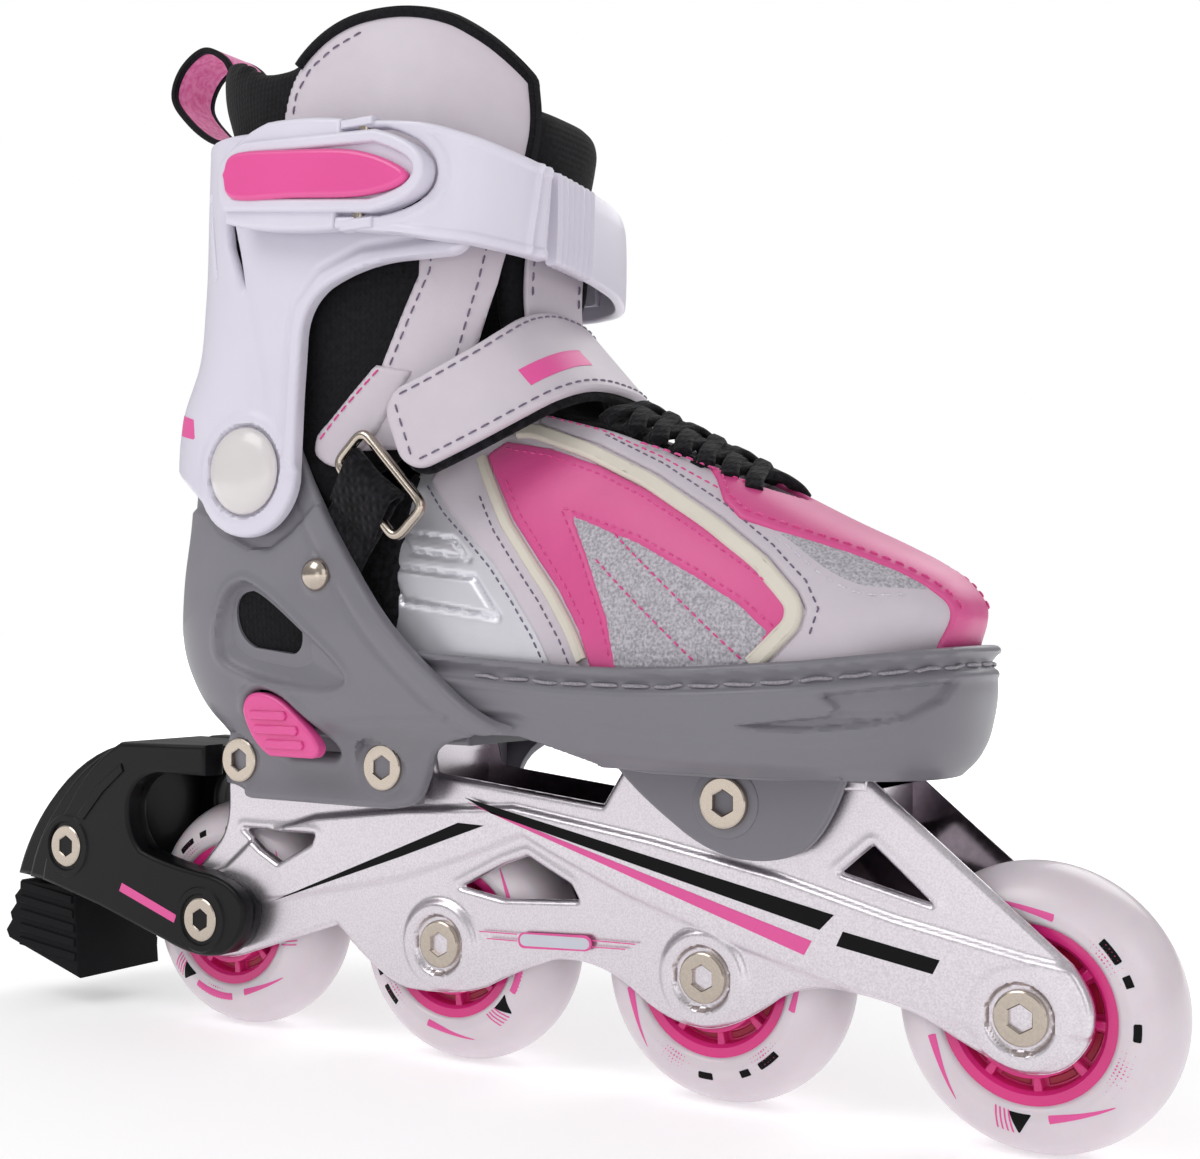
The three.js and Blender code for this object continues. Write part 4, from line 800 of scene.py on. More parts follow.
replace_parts(framePlate(-1, "near"), "frame")
framePlate(1, "far")
block("frame_heel_deck", -111.4, -42.6, -15.6, 15.6, 80.7, 83.6, 0.8, castAluminium, "chassis", "frame_metal")
block("frame_toe_deck", 16.6, 79.4, -15.6, 15.6, 78.2, 80.7, 0.8, castAluminium, "chassis", "frame_metal")
for label, x0, x1, z0, z1 in (("rear", -111, -108, 70, 82), ("middle", -46, -43, 68, 82), ("front", 18, 21, 66, 80),
                              ("nose", 76.4, 79.4, 68, 80)):
    block(f"frame_wall_{label}", x0, x1, -14.4, 14.4, z0, z1, 0.8, castAluminium, "chassis", "frame_metal")
for x in wheelXs:
    for side in (-1, 1):
        turn(f"frame_boss_{'near' if side < 0 else 'far'}_{wheelXs.index(x) + 1}",
             [(4.4, side * 12.3), (7.0, side * 12.3), (7.4, side * 12.7), (7.6, side * 14.2), (4.4, side * 14.2)],
             x, 32, castAluminium, "chassis", 36, closed=True)
innerShadeSheet = {"in": 13.55, "out": 13.15}  # polished sheet behind the openings of the far plate, darkened as painted shade
# the darker colour of this sheet is painted shade on the inside of the far plate
plate("frame_inner_far_painted_shade", [plateEdge * [0.985, 1] + [1.0, 0.3]], innerShadeSheet["in"], innerShadeSheet["out"], 0.1, innerPlatePaintedShade,
      "chassis", 1)


def frameStripe(name, points, material, level=-16.28):
    plate(name, [points], level, level + 0.14, 0.03, material, "chassis", 1)


frameStripe("frame_stripe_black", [(-30.2, 70.4), (72.0, 50.1), (68.5, 46.4), (-21.9, 66.8)], printBlack)
frameStripe("frame_stripe_pink", [(-29.5, 69.3), (66.6, 43.7), (64.7, 40.3), (-15.7, 64.9)], printPink)
frameStripe("frame_stripe_rear", [(-95, 37.8), (-50.7, 56.1), (-32.2, 63.8), (-24.1, 63.6), (-35.7, 59.3), (-50.7, 53.6)],
            printBlack)
frameStripe("frame_mark_black", outline((72.6, 43.2), (74.2, 46.6), (97, 42.6), (95.4, 39.4)), printBlack)
label = outline(
    (-11.6, 37.9), (6.4, 38.9), (8.4, 38.6, 8.2, 36.6), (8, 35.2, 6.2, 35), (-11.6, 33.9), (-13.4, 34, -13.3, 36),
    (-13.2, 37.6, -11.6, 37.9))
frameStripe("frame_label_edge", label, printPink)
frameStripe("frame_label_face", (label - label.mean(0)) * [0.94, 0.74] + label.mean(0), paleUrethane, -16.36)
for k, (x0, z0, x1, z1) in enumerate(((-25.2, 36.8, -13.6, 37.2), (-22.8, 35.2, -13.6, 35.5), (8.4, 37.9, 20.5, 38.2),
                                      (8.4, 36.3, 17.7, 36.7))):
    frameStripe(f"frame_label_line_{k + 1}", [(x0, z0 - 0.14), (x1, z1 - 0.14), (x1, z1 + 0.14), (x0, z0 + 0.14)], printPink)
print("frame made")


# shells: grey heel shell and toe tray

heelRows = [[
    66.5, -104, 24, 8], [78, -106, 24.2, 9], [84, -112, 27.5, 18], [90, -120, 31.5, 28], [100, -128, 33, 33], [112,
    -131, 34.2, 34.2], [125, -130, 35, 34], [140, -126.4, 36.6, 33], [150, -124.9, 37.4, 33], [170, -124.5, 37.4, 33]]
heelFlare = [[66.5, 0], [78, 0], [90, 0.075], [120, 0.06], [140, 0.015], [150, 0], [170, 0]]
step = 0.72


# A grid round the heel: near front edge, back, far front edge; one column for each height
def wallPath(heights, rows, front, flare=None):
    back, half, rounding = (fromRows(rows, heights, k) for k in (1, 2, 3))
    slope = fromRows(flare, heights) if flare else np.zeros(len(heights))
    straight = np.linspace(0, 1, int(115 / step))
    arc = np.linspace(0, 1, int(105 / step))[1:-1]
    columns = []
    rounded = back + rounding
    for t in straight:
        x = front + (rounded - front) * t
        columns.append(np.stack([x, -(half + slope * (x - rounded)), heights], 1))
    for t in arc:
        a = -math.pi / 2 + math.pi * t
        columns.append(np.stack([rounded - rounding * math.cos(a), half * math.sin(a), heights], 1))
    for t in straight[::-1]:
        x = front + (rounded - front) * t
        columns.append(np.stack([x, half + slope * (x - rounded), heights], 1))
    return np.array(columns)


heelEdge = outline(
    (-98, 66.8), (-50, 66.8), (-40, 67.2, -38, 74), (-34, 85, -12, 87.2), (-3, 88), (-14, 93, -30, 106), (-50, 122, -66,
    152), (-70, 160), (-76, 167.5, -86, 167.5), (-96, 167, -100, 158), (-240, 158), (-240, 80), (-112, 80), (-106, 72),
    (-104, 67, -98, 66.8))
heelWindow = outline(
    (-94.5, 117), (-94.5, 122.5, -88, 122.8), (-84, 122, -70.5, 112), (-70, 107, -74, 106), (-88, 107.5), (-94.5, 110,
    -94.5, 117))
windowRecess = outline(
    (-96.5, 121), (-100.5, 114, -99.6, 107), (-98, 99.6, -64, 97.4), (-53, 97.6, -53.6, 101), (-56, 105, -67.5, 112.5),
    (-80, 122.5, -88, 125.5), (-94, 125.5, -96.5, 121))
buttonEdge = outline(
    (-89.5, 91), (-89.5, 96.2, -84, 96.2), (-78, 96, -72, 91), (-64, 85, -63.5, 82.5), (-63.5, 79.5, -67, 79.6), (-80,
    79.6), (-87, 83, -89.5, 91))
seatLine = [
    (-136, 145), (-108, 145), (-101.4, 143.1), (-96.1, 138.4), (-86, 133.9), (-79, 133.6), (-71.3, 138), (-63.8, 144.5),
    (-50, 146)]
seatArea = np.array(seatLine + [(-50, 180), (-136, 180)], float)


heelWall = {"thickness": 3.0, "rounding": 1.2}


def makeHeelShell():
    heights = np.arange(66.6, 169.5, step)
    grid = wallPath(heights, heelRows, 12, heelFlare)
    frontLine = outline((-3, 88), (-14, 93, -30, 106), (-50, 122, -66, 152), (-70, 160))
    creaseLine = frontLine + np.array([-6.5, -3.2])

    def field(x, y, z):
        f = inside(heelEdge, x, z)
        side = np.abs(y) > 18
        f = np.where(side, np.minimum(f, -inside(heelWindow, x, z)), f)
        return np.where(y < 0, np.where(side, np.minimum(f, 0.5 - inside(buttonEdge, x, z) - 1.1), f), f)

    def relief(x, y, z):
        up = np.zeros(x.shape)
        wide = np.abs(y) > 14
        bowl = inside(windowRecess, x, z)
        rim = inside(heelWindow, x, z)
        fall = np.clip(bowl, 0, 50) / np.maximum(np.clip(bowl, 0, 50) + np.maximum(-rim, 0), 0.01)
        depth = np.where(bowl > 0, 0.9 + 3.2 * fall ** 0.7, 0) * smoothStep(-0.1, 0.7, bowl)
        up = up - np.where(wide, depth, 0)
        up = up + np.where(wide, 0.45 * np.exp(-((bowl + 1.0) / 0.9) ** 2), 0)
        up = up - 1.05 * smoothStep(-0.35, 0.6, inside(seatArea, x, z))
        up = up - 0.55 * np.exp(-(nearLine(creaseLine, x, z) / 0.9) ** 2) * wide
        up = up + 0.4 * smoothStep(2.2, 0.6, np.hypot(x + 62.5, z - 127) - 4.0)
        for bx in (-100, -51):
            r = np.hypot(x - bx, z - 77)
            up = up + (23.3 - np.abs(y) - up) * (1 - smoothStep(7.2, 7.9, r)) * wide  # flat seats for the bolt heads
        edge = inside(buttonEdge, x, z)
        up = up + np.where(y < 0, 0.6 * np.exp(-((edge + 2.2) / 1.2) ** 2), 0)
        up = up - 0.5 * np.exp(-((z - 90.5 - 0.06 * (x + 40)) / 0.8) ** 2) * smoothStep(-60, -50,
                                                                                        x) * (1 - smoothStep(-24, -14, x))
        return up
    shell = skin("heel_shell_moulded", grid, field, greyPolymer, "chassis", **heelWall, relief=relief,
                 flip=True, slot="shell_plastic", sharp=44)
    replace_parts(shell, "heel_shell")
    floorHalf = 24.0
    block("heel_shell_floor", -101, -24, -floorHalf + 0.6, floorHalf - 0.6, 84.2, 87.2, 1.0, greyPolymer, "chassis",
          "shell_plastic")
    for side, name in bothSides:
        block(f"heel_shell_foot_{name}", -100, -42, side * 16.6, side * 21.4, 68.2, 85, 1.0, greyPolymer, "chassis",
              "shell_plastic")
        cap = turn(f"pivot_cap_{name}_pearl",
                   [(0.4, side * 43.85), (4, side * 43.75), (7, side * 43.4), (9.2, side * 42.8), (10.6, side * 42.1),
                    (11.3, side * 41.3), (11.35, side * 41.0), (0.4, side * 41.0)], -84, 154, pearlPolymer, "chassis", 72,
                   60)
        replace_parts(cap, f"pivot_cap_{name}")
    rivet = turn("webbing_rivet_dome", [(0.3, -39.9), (1.6, -39.75), (3.0, -39.2), (3.9, -38.4), (4.3, -37.5), (4.3, -37.1),
                                        (0.3, -37.1)], -62.5, 127, nickelPlate, "chassis", 40, 60)
    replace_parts(rivet, "webbing_rivet")


def makeButton():
    face = buttonEdge
    base = plate("size_button_moulded", [face], -34.5, -30.6, 0.9, pinkPolymer, "button", 4)
    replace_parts(base, "size_button")
    for k, z in enumerate((82.9, 86.6, 90.3)):
        x0, x1 = (-80.4, -84.4, -86.2)[k], (-68.6, -70.6, -74.6)[k]
        plate(f"size_button_rib_{k + 1}", [[(x0, z - 1.15), (x1, z - 1.15), (x1 + 0.6, z), (x1, z + 1.15), (x0, z + 1.15),
                                           (x0 - 0.6, z)]], -35.3, -34.2, 0.4, pinkPolymer, "button", 3)


toeRows = [[-76, 30.6], [-58, 31.4], [-30, 33.6], [0, 36], [20, 38.4], [45, 40.4], [58, 40.2]]
toeLevels = [[81.2, 0.7], [84, 0.81], [88, 0.905], [94, 0.97], [101, 1], [107, 0.995], [114, 0.975]]
toeEdge = outline(
    (-57, 87.4), (-3.4, 87.4), (10, 84, 16, 81.2), (16, 70), (112, 70), (112, 113), (108, 112.4), (96, 110.6), (73,
    107.9), (49, 106.2), (28, 105.4), (12, 105.6), (-10, 106.6), (-40, 108.4), (-57, 108.4))


def toePath(scales, heights):
    columns = []
    for x in np.arange(-57.5, 58, step):
        half = fromRows(toeRows, x)
        columns.append(np.stack([np.full(len(scales), x), -half * scales, heights], 1))
    for a in np.linspace(-math.pi / 2, math.pi / 2, int(118 / step)):
        flat = math.copysign(abs(math.sin(a)) ** 0.9, math.sin(a))
        length = 43.8 * (0.45 + 0.55 * scales)
        columns.append(np.stack([58 + length * max(math.cos(a), 0) ** 0.85, 40.2 * scales * flat, heights], 1))
    return np.array(columns + [column * [1, -1, 1] for column in columns[:int(115.5 / step)][::-1]])


trayWall = {"thickness": 2.6, "rounding": 1.1}
trayStitch = {"length": 7.6, "gap": 1.2, "radius": 0.42, "lift": -0.7}


def makeToeShell():
    heights = np.concatenate([np.full(10, 81.2), np.arange(81.6, 84, 0.5), np.arange(84, 114, step * 0.8)])
    scales = np.concatenate([np.linspace(0.25, 0.7, 10), fromRows(toeLevels, heights[10:])])
    grid = toePath(scales, heights)
    panel = np.array([
        (56.4, 93.2), (70, 95), (78.4, 96), (80.4, 97.9), (76.3, 100.8), (90, 102.5), (100.4, 104), (98.6, 99.1), (93.4,
        95.4), (86.5, 93.6), (73, 92.2), (61.8, 92.2)], float)
    ledge = [(80.4, 97.9), (79.4, 96), (84, 95.6), (91.4, 96)]
    noseLine = [(108.6, 103.5), (106, 99.9), (104, 93.4), (100.6, 87.9)]
    crease = [(13.5, 93.5), (29.2, 91.2), (51.8, 89.4), (66, 89.2), (79.8, 90), (89.5, 92.3), (96.5, 97), (102.4, 104.4)]

    def field(x, y, z):
        return inside(toeEdge, np.maximum(x, -56.9), z)

    def relief(x, y, z):
        side = smoothStep(6, 16, np.abs(y))
        rim = field(x, y, z)
        up = 0.9 * (1 - smoothStep(1.6, 2.3, rim))
        up = up - 1.15 * np.exp(-((rim - 4.1) / 1.35) ** 4)
        up = up + 0.35 * np.exp(-((rim - 6.7) / 0.8) ** 2)
        up = up * smoothStep(90, 95, z)
        up = up - 1.5 * smoothStep(-0.1, 0.9, inside(panel, x, z)) * side
        up = up + 0.5 * np.exp(-(nearLine(ledge, x, z) / 0.6) ** 2) * side
        below = z - np.interp(x, [c[0] for c in crease], [c[1] for c in crease])
        up = up + 0.5 * smoothStep(0.5, -0.5, below) * side * smoothStep(12, 24, x) * smoothStep(98, 90, x) * smoothStep(82,
                                                                                                                         86, z)
        up = up - 0.4 * np.exp(-(nearLine(noseLine, x, z) / 0.7) ** 2) * (np.abs(y) < 30)
        return np.where(z < 82.5, 0, up)
    tray = skin("toe_shell_moulded", grid, field, greyPolymer, "toe", **trayWall, relief=relief,
                slot="shell_plastic", sharp=44)
    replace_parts(tray, "toe_shell")
    ear = outline(
        (14.5, 86), (17, 80.5), (22, 75, 33, 67.8), (40, 62.8, 48, 61.4), (58, 60.2, 65.4, 64), (71.5, 68.6, 75.5,
        80.4), (77, 86))
    for side, name in bothSides:
        plate(f"toe_shell_ear_{name}", [ear], side * 16.5, side * 19.9, 0.9, greyPolymer, "toe", 4)
        turn(f"toe_shell_boss_{name}", [(3.4, side * 19.5), (8.6, side * 19.5), (8.4, side * 20.1), (8.0, side * 20.3),
                                        (6.6, side * 20.3), (3.4, side * 20.2)], 46.3, 74.2, greyPolymer, "toe", 48,
             closed=True)
        web = outline((15.5, 81.5), (30, 80.4), (60, 80.4), (78, 81.5), (78, 86), (15.5, 86))
        plate(f"toe_shell_web_{name}", [web], side * 17, side * 27, 0.9, greyPolymer, "toe", 3)
    rimLine = []
    for column in grid[::2]:
        rims = field(column[12:, 0], column[12:, 1], column[12:, 2])
        k = np.where(rims > 4.1)[0]
        if len(k) and column[0, 0] > -16:
            rimLine.append(column[12 + k[-1]])
    rimOut = np.cross(np.gradient(np.array(rimLine), axis=0), [0, 0, 1.0])
    rimOut /= np.linalg.norm(rimOut, axis=1, keepdims=True)
    stitches("toe_shell_stitch", np.array(rimLine), threadTray, "toe", **trayStitch, out=rimOut)


makeHeelShell()
makeButton()
makeToeShell()
print("shells made")


# cuff with its pivot lobes, straps and buckle

cuffRows = [[
    134, -128.2, 41, 33.4], [157, -128.2, 41, 33.4], [170, -126.2, 41, 32], [184, -120.5, 40.6, 31], [200, -118.5, 40.2,
    30], [228, -117.5, 40, 29], [250, -117, 39.6, 28]]


def arcPoints(cx, cz, r, start, end, count=30):
    return [(cx + r * math.cos(math.radians(a)), cz + r * math.sin(math.radians(a))) for a in np.linspace(start, end, count)]


cuffEdge = np.vstack([outline(
    (-240, 156), (-124, 156), (-110, 154.5, -99.4, 146)), arcPoints(-84, 154, 17.3, 208.8, 349.2), outline((-65.5, 188),
    (-65, 196, -58, 200), (-48, 204.6, -36, 204.8), (-20, 204.6), (-14.5, 205, -14.5, 210), (-14.5, 215, -20, 215.5),
    (-30, 216), (-52, 222, -62, 234), (-70, 241, -84, 243), (-240, 247))])


cuffWall = {"thickness": 2.8, "rounding": 1.2}


def makeCuff():
    heights = np.arange(134, 249, step)
    grid = wallPath(heights, cuffRows, -10)
    slit = np.array([(-105, 228), (-102, 229), (-97, 206)], float)
    gap = np.array([(-92.9, 220), (-90.6, 219.4), (-88.2, 211), (-86.4, 202), (-89.2, 208.6), (-91.6, 213.6)], float)
    openEdge = [(-66.6, 158), (-65.5, 188), (-64.4, 194), (-58, 200.4), (-46, 204.2), (-20, 204.8)]
    backRidge = [(-91.8, 222), (-85.4, 200), (-80.5, 181), (-78, 168)]

    def field(x, y, z):
        f = inside(cuffEdge, x, z)
        f = np.where(np.abs(y) > 22, np.minimum(f, np.minimum(-inside(slit, x, z), -inside(gap, x, z))), f)
        return np.where(y > 0, np.minimum(f, -25 - x), f)

    def relief(x, y, z):
        side = smoothStep(16, 24, np.abs(y))
        r = np.hypot(x + 84, z - 154)
        up = 0.5 * (1 - smoothStep(14.0, 16.2, r)) * side
        up = up - 1.5 * (1 - smoothStep(11.9, 12.5, r)) * side
        lip = nearLine(openEdge, x, z)
        up = up + 0.75 * (1 - smoothStep(3.0, 4.2, lip)) * side
        up = up - 0.45 * np.exp(-((lip - 5.2) / 0.8) ** 2) * side
        lean = nearLine(backRidge, x, z)
        up = up - 0.95 * np.exp(-(lean / 2.6) ** 2) * side * smoothStep(164, 176, z)
        return up
    shell = skin("cuff_moulded", grid, field, lilacPolymer, "cuff", **cuffWall, relief=relief,
                 flip=True, slot="cuff_plastic", sharp=44)
    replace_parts(shell, "cuff")
    mark = np.array([(-114, 171), (-103.5, 168.5), (-102.5, 163), (-112.5, 165)], float)
    skin("cuff_mark", grid, lambda x, y, z: np.minimum(inside(mark, x, z), -y), printPink, "cuff", thickness=0.14,
         rounding=0.0,
         lift=0.08, flip=True, slot="pink_plastic")


nearStrapPoints = [
    (-2.4, -24.1, 215.3), (-3.1, -27, 215.6), (-5.6, -32, 216.6), (-12, -40, 218.8), (-19, -43.4, 220.6), (-28, -45.6,
    222.8), (-46.6, -47.4, 225.4)]
farStrapPoints = [
    (-2.2, -21.4, 215), (-3, -12, 214.8), (-4, 2, 214), (-6.4, 16, 212.8), (-12, 29, 211.4), (-18, 37.4, 210.4), (-25.5,
    42.3, 210), (-34, 43.1, 209.6), (-56, 43, 209.5)]


def tilt(x, z):  # Turns a flat buckle outline nose down about the lever pin
    c, s = math.cos(0.077), math.sin(0.077)
    dx, dz = x + 41, z - 225
    return -41 + c * dx + s * dz, 225 - s * dx + c * dz


def tilted(points):
    return np.array([tilt(x, z) for x, z in points])


def leverOutline(inset):
    top, bottom, nose, tail = 235.4 - inset, 215.2 + inset, -20.2 - inset, -86 + inset
    return tilted(outline((tail + 3, bottom + 1.5), (-36, bottom), (nose, bottom + 2.4, nose, 225),
                          (nose, top - 3.6, -36, top),
                          (tail + 8, top - 1), (tail - 1, top - 4, tail, 225), (tail, bottom + 3, tail + 3, bottom + 1.5)))


strapWall = {"thickness": 3.0, "rounding": 0.9}


def makeStraps():
    line = throughPoints(nearStrapPoints, 130)
    xs = np.linspace(0, 1, 130)
    us = np.linspace(-1, 1, 61)
    widths = fromRows([[-47, 27], [-28, 27.6], [-12, 25.5], [-2, 23]], line[:, 0])
    tangent = np.gradient(line, axis=0)
    tangent /= np.linalg.norm(tangent, axis=1, keepdims=True)
    up = np.array([0, 0, 1.0]) - tangent * tangent[:, 2:3]
    up /= np.linalg.norm(up, axis=1, keepdims=True)
    out = np.cross(tangent, up)
    if out[40, 1] > 0:
        out = -out
    grid = line[:, None, :] + up[:, None, :] * (us[None, :, None] * widths[:, None, None] / 2) + out[:, None, :] * 1.5
    fork = tilted(outline((-60, 214.4), (-34, 214.6), (-19.6, 217, -19.6, 224.6), (-19.6, 232.4, -34, 236.2), (-60, 236.6)))
    across = np.broadcast_to(us[None, :] * widths[:, None] / 2, grid.shape[:2])

    def field(x, y, z):
        edge = np.minimum(widths[:, None] / 2 - 0.05 - np.abs(across), (xs[:, None] * 57 + 0.7))
        edge = np.minimum(edge, (1 - xs[:, None]) * 57 + 0.05)
        return np.minimum(edge, -inside(fork, x, z))

    def relief(x, y, z):
        edge = widths[:, None] / 2 - np.abs(across)
        up = 0.5 * (1 - smoothStep(2.0, 2.8, edge))
        groove = -inside(fork, x, z)
        up = np.maximum(up, 0.5 * (1 - smoothStep(2.4, 3.4, groove)))
        ribs = np.zeros(x.shape)
        for k in range(2):
            ribs = ribs + np.exp(-(((xs[:, None] * 59) - 1.6 - 2.9 * k) / 0.7) ** 2)
        return up + 0.9 * ribs
    strap = skin("strap_near_moulded", grid, field, lilacPolymer, "strap", **strapWall, relief=relief,
                 flip=np.cross(tangent[40], up[40]) @ out[40] < 0, slot="cuff_plastic", sharp=44)
    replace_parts(strap, "strap_near")
    for name, z0, z1 in (("upper", 236.5, 238.7), ("lower", 211.2, 213.9)):
        block(f"strap_near_lug_{name}", -46.4, -36.6, -49.4, -45.4, z0, z1, 0.6, lilacPolymer, "strap", "cuff_plastic")
    flex = lambda t: 1.5 * sum(math.exp(-((t * 104 - 1.4 - 2.9 * k) / 0.7) ** 2) for k in range(7))
    section = stripSection(lambda t: 23.2 - 5.2 * float(smoothStep(0.3, 0.8, t)), lambda t: 3 + flex(t), 1.2, 0.25)
    far = sweep("strap_far_moulded", throughPoints(farStrapPoints, 300), section, lambda t: (0, 0, 1), lilacPolymer, "cuff")
    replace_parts(far, "strap_far")
    rivet = turn("strap_rivet_dome", [(0.3, 46.8), (2.2, 46.5), (3.8, 45.8), (4.6, 44.9), (4.6, 44.6), (0.3, 44.6)], -48,
                 209.5,
                 nickelPlate, "cuff", 40, 60)
    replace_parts(rivet, "strap_rivet")


def makeLever():
    base = plate("buckle_lever_moulded", [leverOutline(0), leverOutline(3.3)], -50.6, -44.4, 1.1, lilacPolymer, "lever",
                 4)
    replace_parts(base, "buckle_lever")
    plate("buckle_lever_floor", [leverOutline(1.6)], -48.9, -44.6, 0.5, lilacPolymer, "lever")
    cheeks = tilted(outline(
        (-84, 214), (-72, 211, -50, 211.4), (-47.6, 211.6), (-47.6, 239), (-60, 240.6, -72, 239.4), (-83, 236, -85.4,
        230)))
    plate("buckle_lever_cheeks", [cheeks], -49.0, -43.9, 1.3, lilacPolymer, "lever", 4)
    loop = [(-83.6, 229.1), (-79.5, 234.2), (-60.8, 232.9), (-43.8, 230.9), (-34.1, 228.2), (-26.8, 224.6), (-24.6, 222.1),
            (-27.4, 220), (-34.4, 218.9), (-43, 219), (-60.5, 220.8), (-80, 222.6)]
    smooth = throughPoints([(x, z, 0) for x, z in loop + loop[:1]], 90)[:-1, :2]
    insert = plate("lever_insert_moulded", [smooth], -51.7, -48.8, 1.2, pinkPolymer, "lever", 5)
    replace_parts(insert, "lever_insert")
    c, s = math.cos(0.077), math.sin(0.077)
    ends = [np.array((-41 + s * t, -47.4, 225 + c * t)) for t in (-13.7, 13.7)]
    pin = sweep("lever_pin_steel", np.linspace(ends[0], ends[1], 5), roundSection(1.5, 20), lambda t: (1, 0, 0), nickelPlate,
                "strap")
    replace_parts(pin, "lever_pin")


makeCuff()
makeStraps()
makeLever()
print("cuff and buckle made")


# brake

def brakeOutline(i):  # i moves the curved back inwards
    return outline((-114, 80.2), (-147, 79.6), (-168 + .6 * i, 76 - .2 * i, -182 + i, 60),
                   (-191 + i, 50, -195 + 1.2 * i, 37.5),
                     (-171, 36), (-154, 32), (-128, 24.6), (-116, 20.4, -107, 23), (-98, 28, -99, 37), (-102, 43, -112, 44.6),
                     (-128, 46, -138, 49.4), (-144, 54, -143.4, 62), (-142, 70, -132, 71.6), (-114, 71.6))


def makeBrake():
    arm = None
    for side, name in bothSides:
        cheek = plate(f"brake_arm_cheek_{name}", [brakeOutline(14)], side * 16.5, side * 22.4, 1.2, blackPolymer, "chassis",
                      4)
        if side < 0:
            arm = cheek
        plate(f"brake_arm_band_{name}", [brakeOutline(7)], side * 14, side * 20, 1.6, blackPolymer, "chassis",
                     4)
        rib = outline((-163.5, 57.6), (-156, 66.5), (-146, 73.6), (-145, 71.4), (-153, 65), (-161, 56.4))
        plate(f"brake_arm_rib_{name}", [rib], side * 22.2, side * 22.9, 0.3, blackPolymer, "chassis", 2)
    core = outline((-149.6, 79), (-168, 76, -182, 60), (-191, 50, -195, 37.5), (-171, 36), (-149.6, 36))
    plate("brake_arm_core", [core], -17, 17, 1.6, blackPolymer, "chassis", 4)
    block("brake_arm_bridge", -152, -117.8, -16.8, 16.8, 75.8, 79.2, 1.0, blackPolymer, "chassis", "brake_plastic")
    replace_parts(arm, "brake_arm")
    for side, name in bothSides:
        for k, (x, z) in enumerate(((-168, 48.4), (-114.75, 32))):
            turn(f"brake_arm_seat_{name}_{k + 1}", [(3.4, side * 21.5), (9.2, side * 21.5), (9.2, side * 22.4),
                                                    (8.7, side * 22.9), (7.2, side * 22.9), (6.9, side * 22.4),
                                                    (6.5, side * 21.6), (3.4, side * 21.6)], x, z, blackPolymer, "chassis", 60,
                 closed=True)
        bar = outline((-146, 37.2), (-124.6, 30.2), (-123.6, 32.4), (-145, 39.6))
        plate(f"brake_arm_mark_{name}", [bar], side * 22.35, side * 22.55, 0.05, printPink, "chassis", 1)
    pad = [
        (-171.4, 35.6), (-168.4, 8.6), (-199, 17.6), (-200.4, 20), (-198, 23.2), (-198.8, 25.4), (-196.2, 28.4), (-197,
        30.6), (-194.4, 33.2), (-194.2, 35.6)]
    rubber = plate("brake_pad_rubber", [pad], -16.3, 16.3, 0.8, blackRubber, "chassis", 3)
    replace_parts(rubber, "brake_pad")
    for k, (z0, x0) in enumerate(((13.6, -169.2), (17.8, -169.6), (22.0, -170), (26.2, -170.5), (30.4, -171))):
        line = [(x0 - 0.6, z0), (-193.6, z0 + 2.6), (-193.6, z0 + 4.9), (x0 - 0.6, z0 + 2.3)]
        for side, name in bothSides:
            plate(f"brake_pad_rib_{k + 1}_{name}", [line], side * 16.2, side * 16.9, 0.25, blackRubber, "chassis",
                  2)


makeBrake()
print("brake made")


# soft upper: one shell over the foot with its overlays

upperTop = [[
    -60, 168], [-40, 176], [-20, 177], [0, 171], [8, 168], [30, 157.6], [50, 147.4], [66, 139.4], [80, 133], [88, 129],
    [94, 125], [98, 120], [100.6, 113], [101.6, 106]]
upperHalf = [[-60, 26.6], [-40, 28], [-20, 29.6], [0, 31.2], [8, 31.8], [30, 35.2], [50, 36.4]]
upperPower = [[-60, 0.82], [30, 0.8], [60, 0.72], [102, 0.62]]
upperSpring = 99.0


def upperShape(x):
    x = np.asarray(x, float)
    half = fromRows(upperHalf, np.minimum(x, 50))
    nose = np.sqrt(np.maximum(1 - (np.clip((x - 50) / 51.8, 0, 1)) ** 2.6, 0.0005))
    return half * nose, fromRows(upperTop, x), fromRows(upperPower, x)


def upperOut(p):  # Outward direction of the upper's surface at points
    def value(q):
        half, top, power = upperShape(q[:, 0])
        low = np.maximum(q[:, 2] - upperSpring, 0) / (top - upperSpring)
        return (np.abs(q[:, 1]) / half) ** (2 / power) + low ** (2 / 0.86)
    grad = np.stack([value(p + d) - value(p - d) for d in np.eye(3) * 0.15], 1)
    return grad / np.maximum(np.linalg.norm(grad, axis=1, keepdims=True), 1e-9)


def onUpper(points, side=-1, lift=0.0, gap=1.0):  # A line in x and z laid on one side of the upper
    line = evenly(np.array(points, float), max(2,
                                               int(np.linalg.norm(np.diff(np.array(points, float), axis=0),
                                                                  axis=1).sum() / gap)))
    half, top, power = upperShape(line[:, 0])
    s = np.clip(np.maximum(line[:, 1] - upperSpring, 0) / (top - upperSpring), 0, 1) ** (1 / 0.86)
    y = side * half * np.sqrt(np.maximum(1 - s * s, 0)) ** power
    p = np.stack([line[:, 0], y, line[:, 1]], 1)
    n = upperOut(p)
    return p + n * lift, n


def overUpper(points, side=-1, lift=0.0, gap=1.0):  # A line in x and |y| laid over the upper
    line = evenly(np.array(points, float), max(2,
                                               int(np.linalg.norm(np.diff(np.array(points, float), axis=0),
                                                                  axis=1).sum() / gap)))
    half, top, power = upperShape(line[:, 0])
    c = np.clip(line[:, 1] / half, 0, 0.999) ** (1 / power)
    z = upperSpring + (top - upperSpring) * np.sqrt(1 - c * c) ** 0.86
    p = np.stack([line[:, 0], side * line[:, 1], z], 1)
    n = upperOut(p)
    return p + n * lift, n


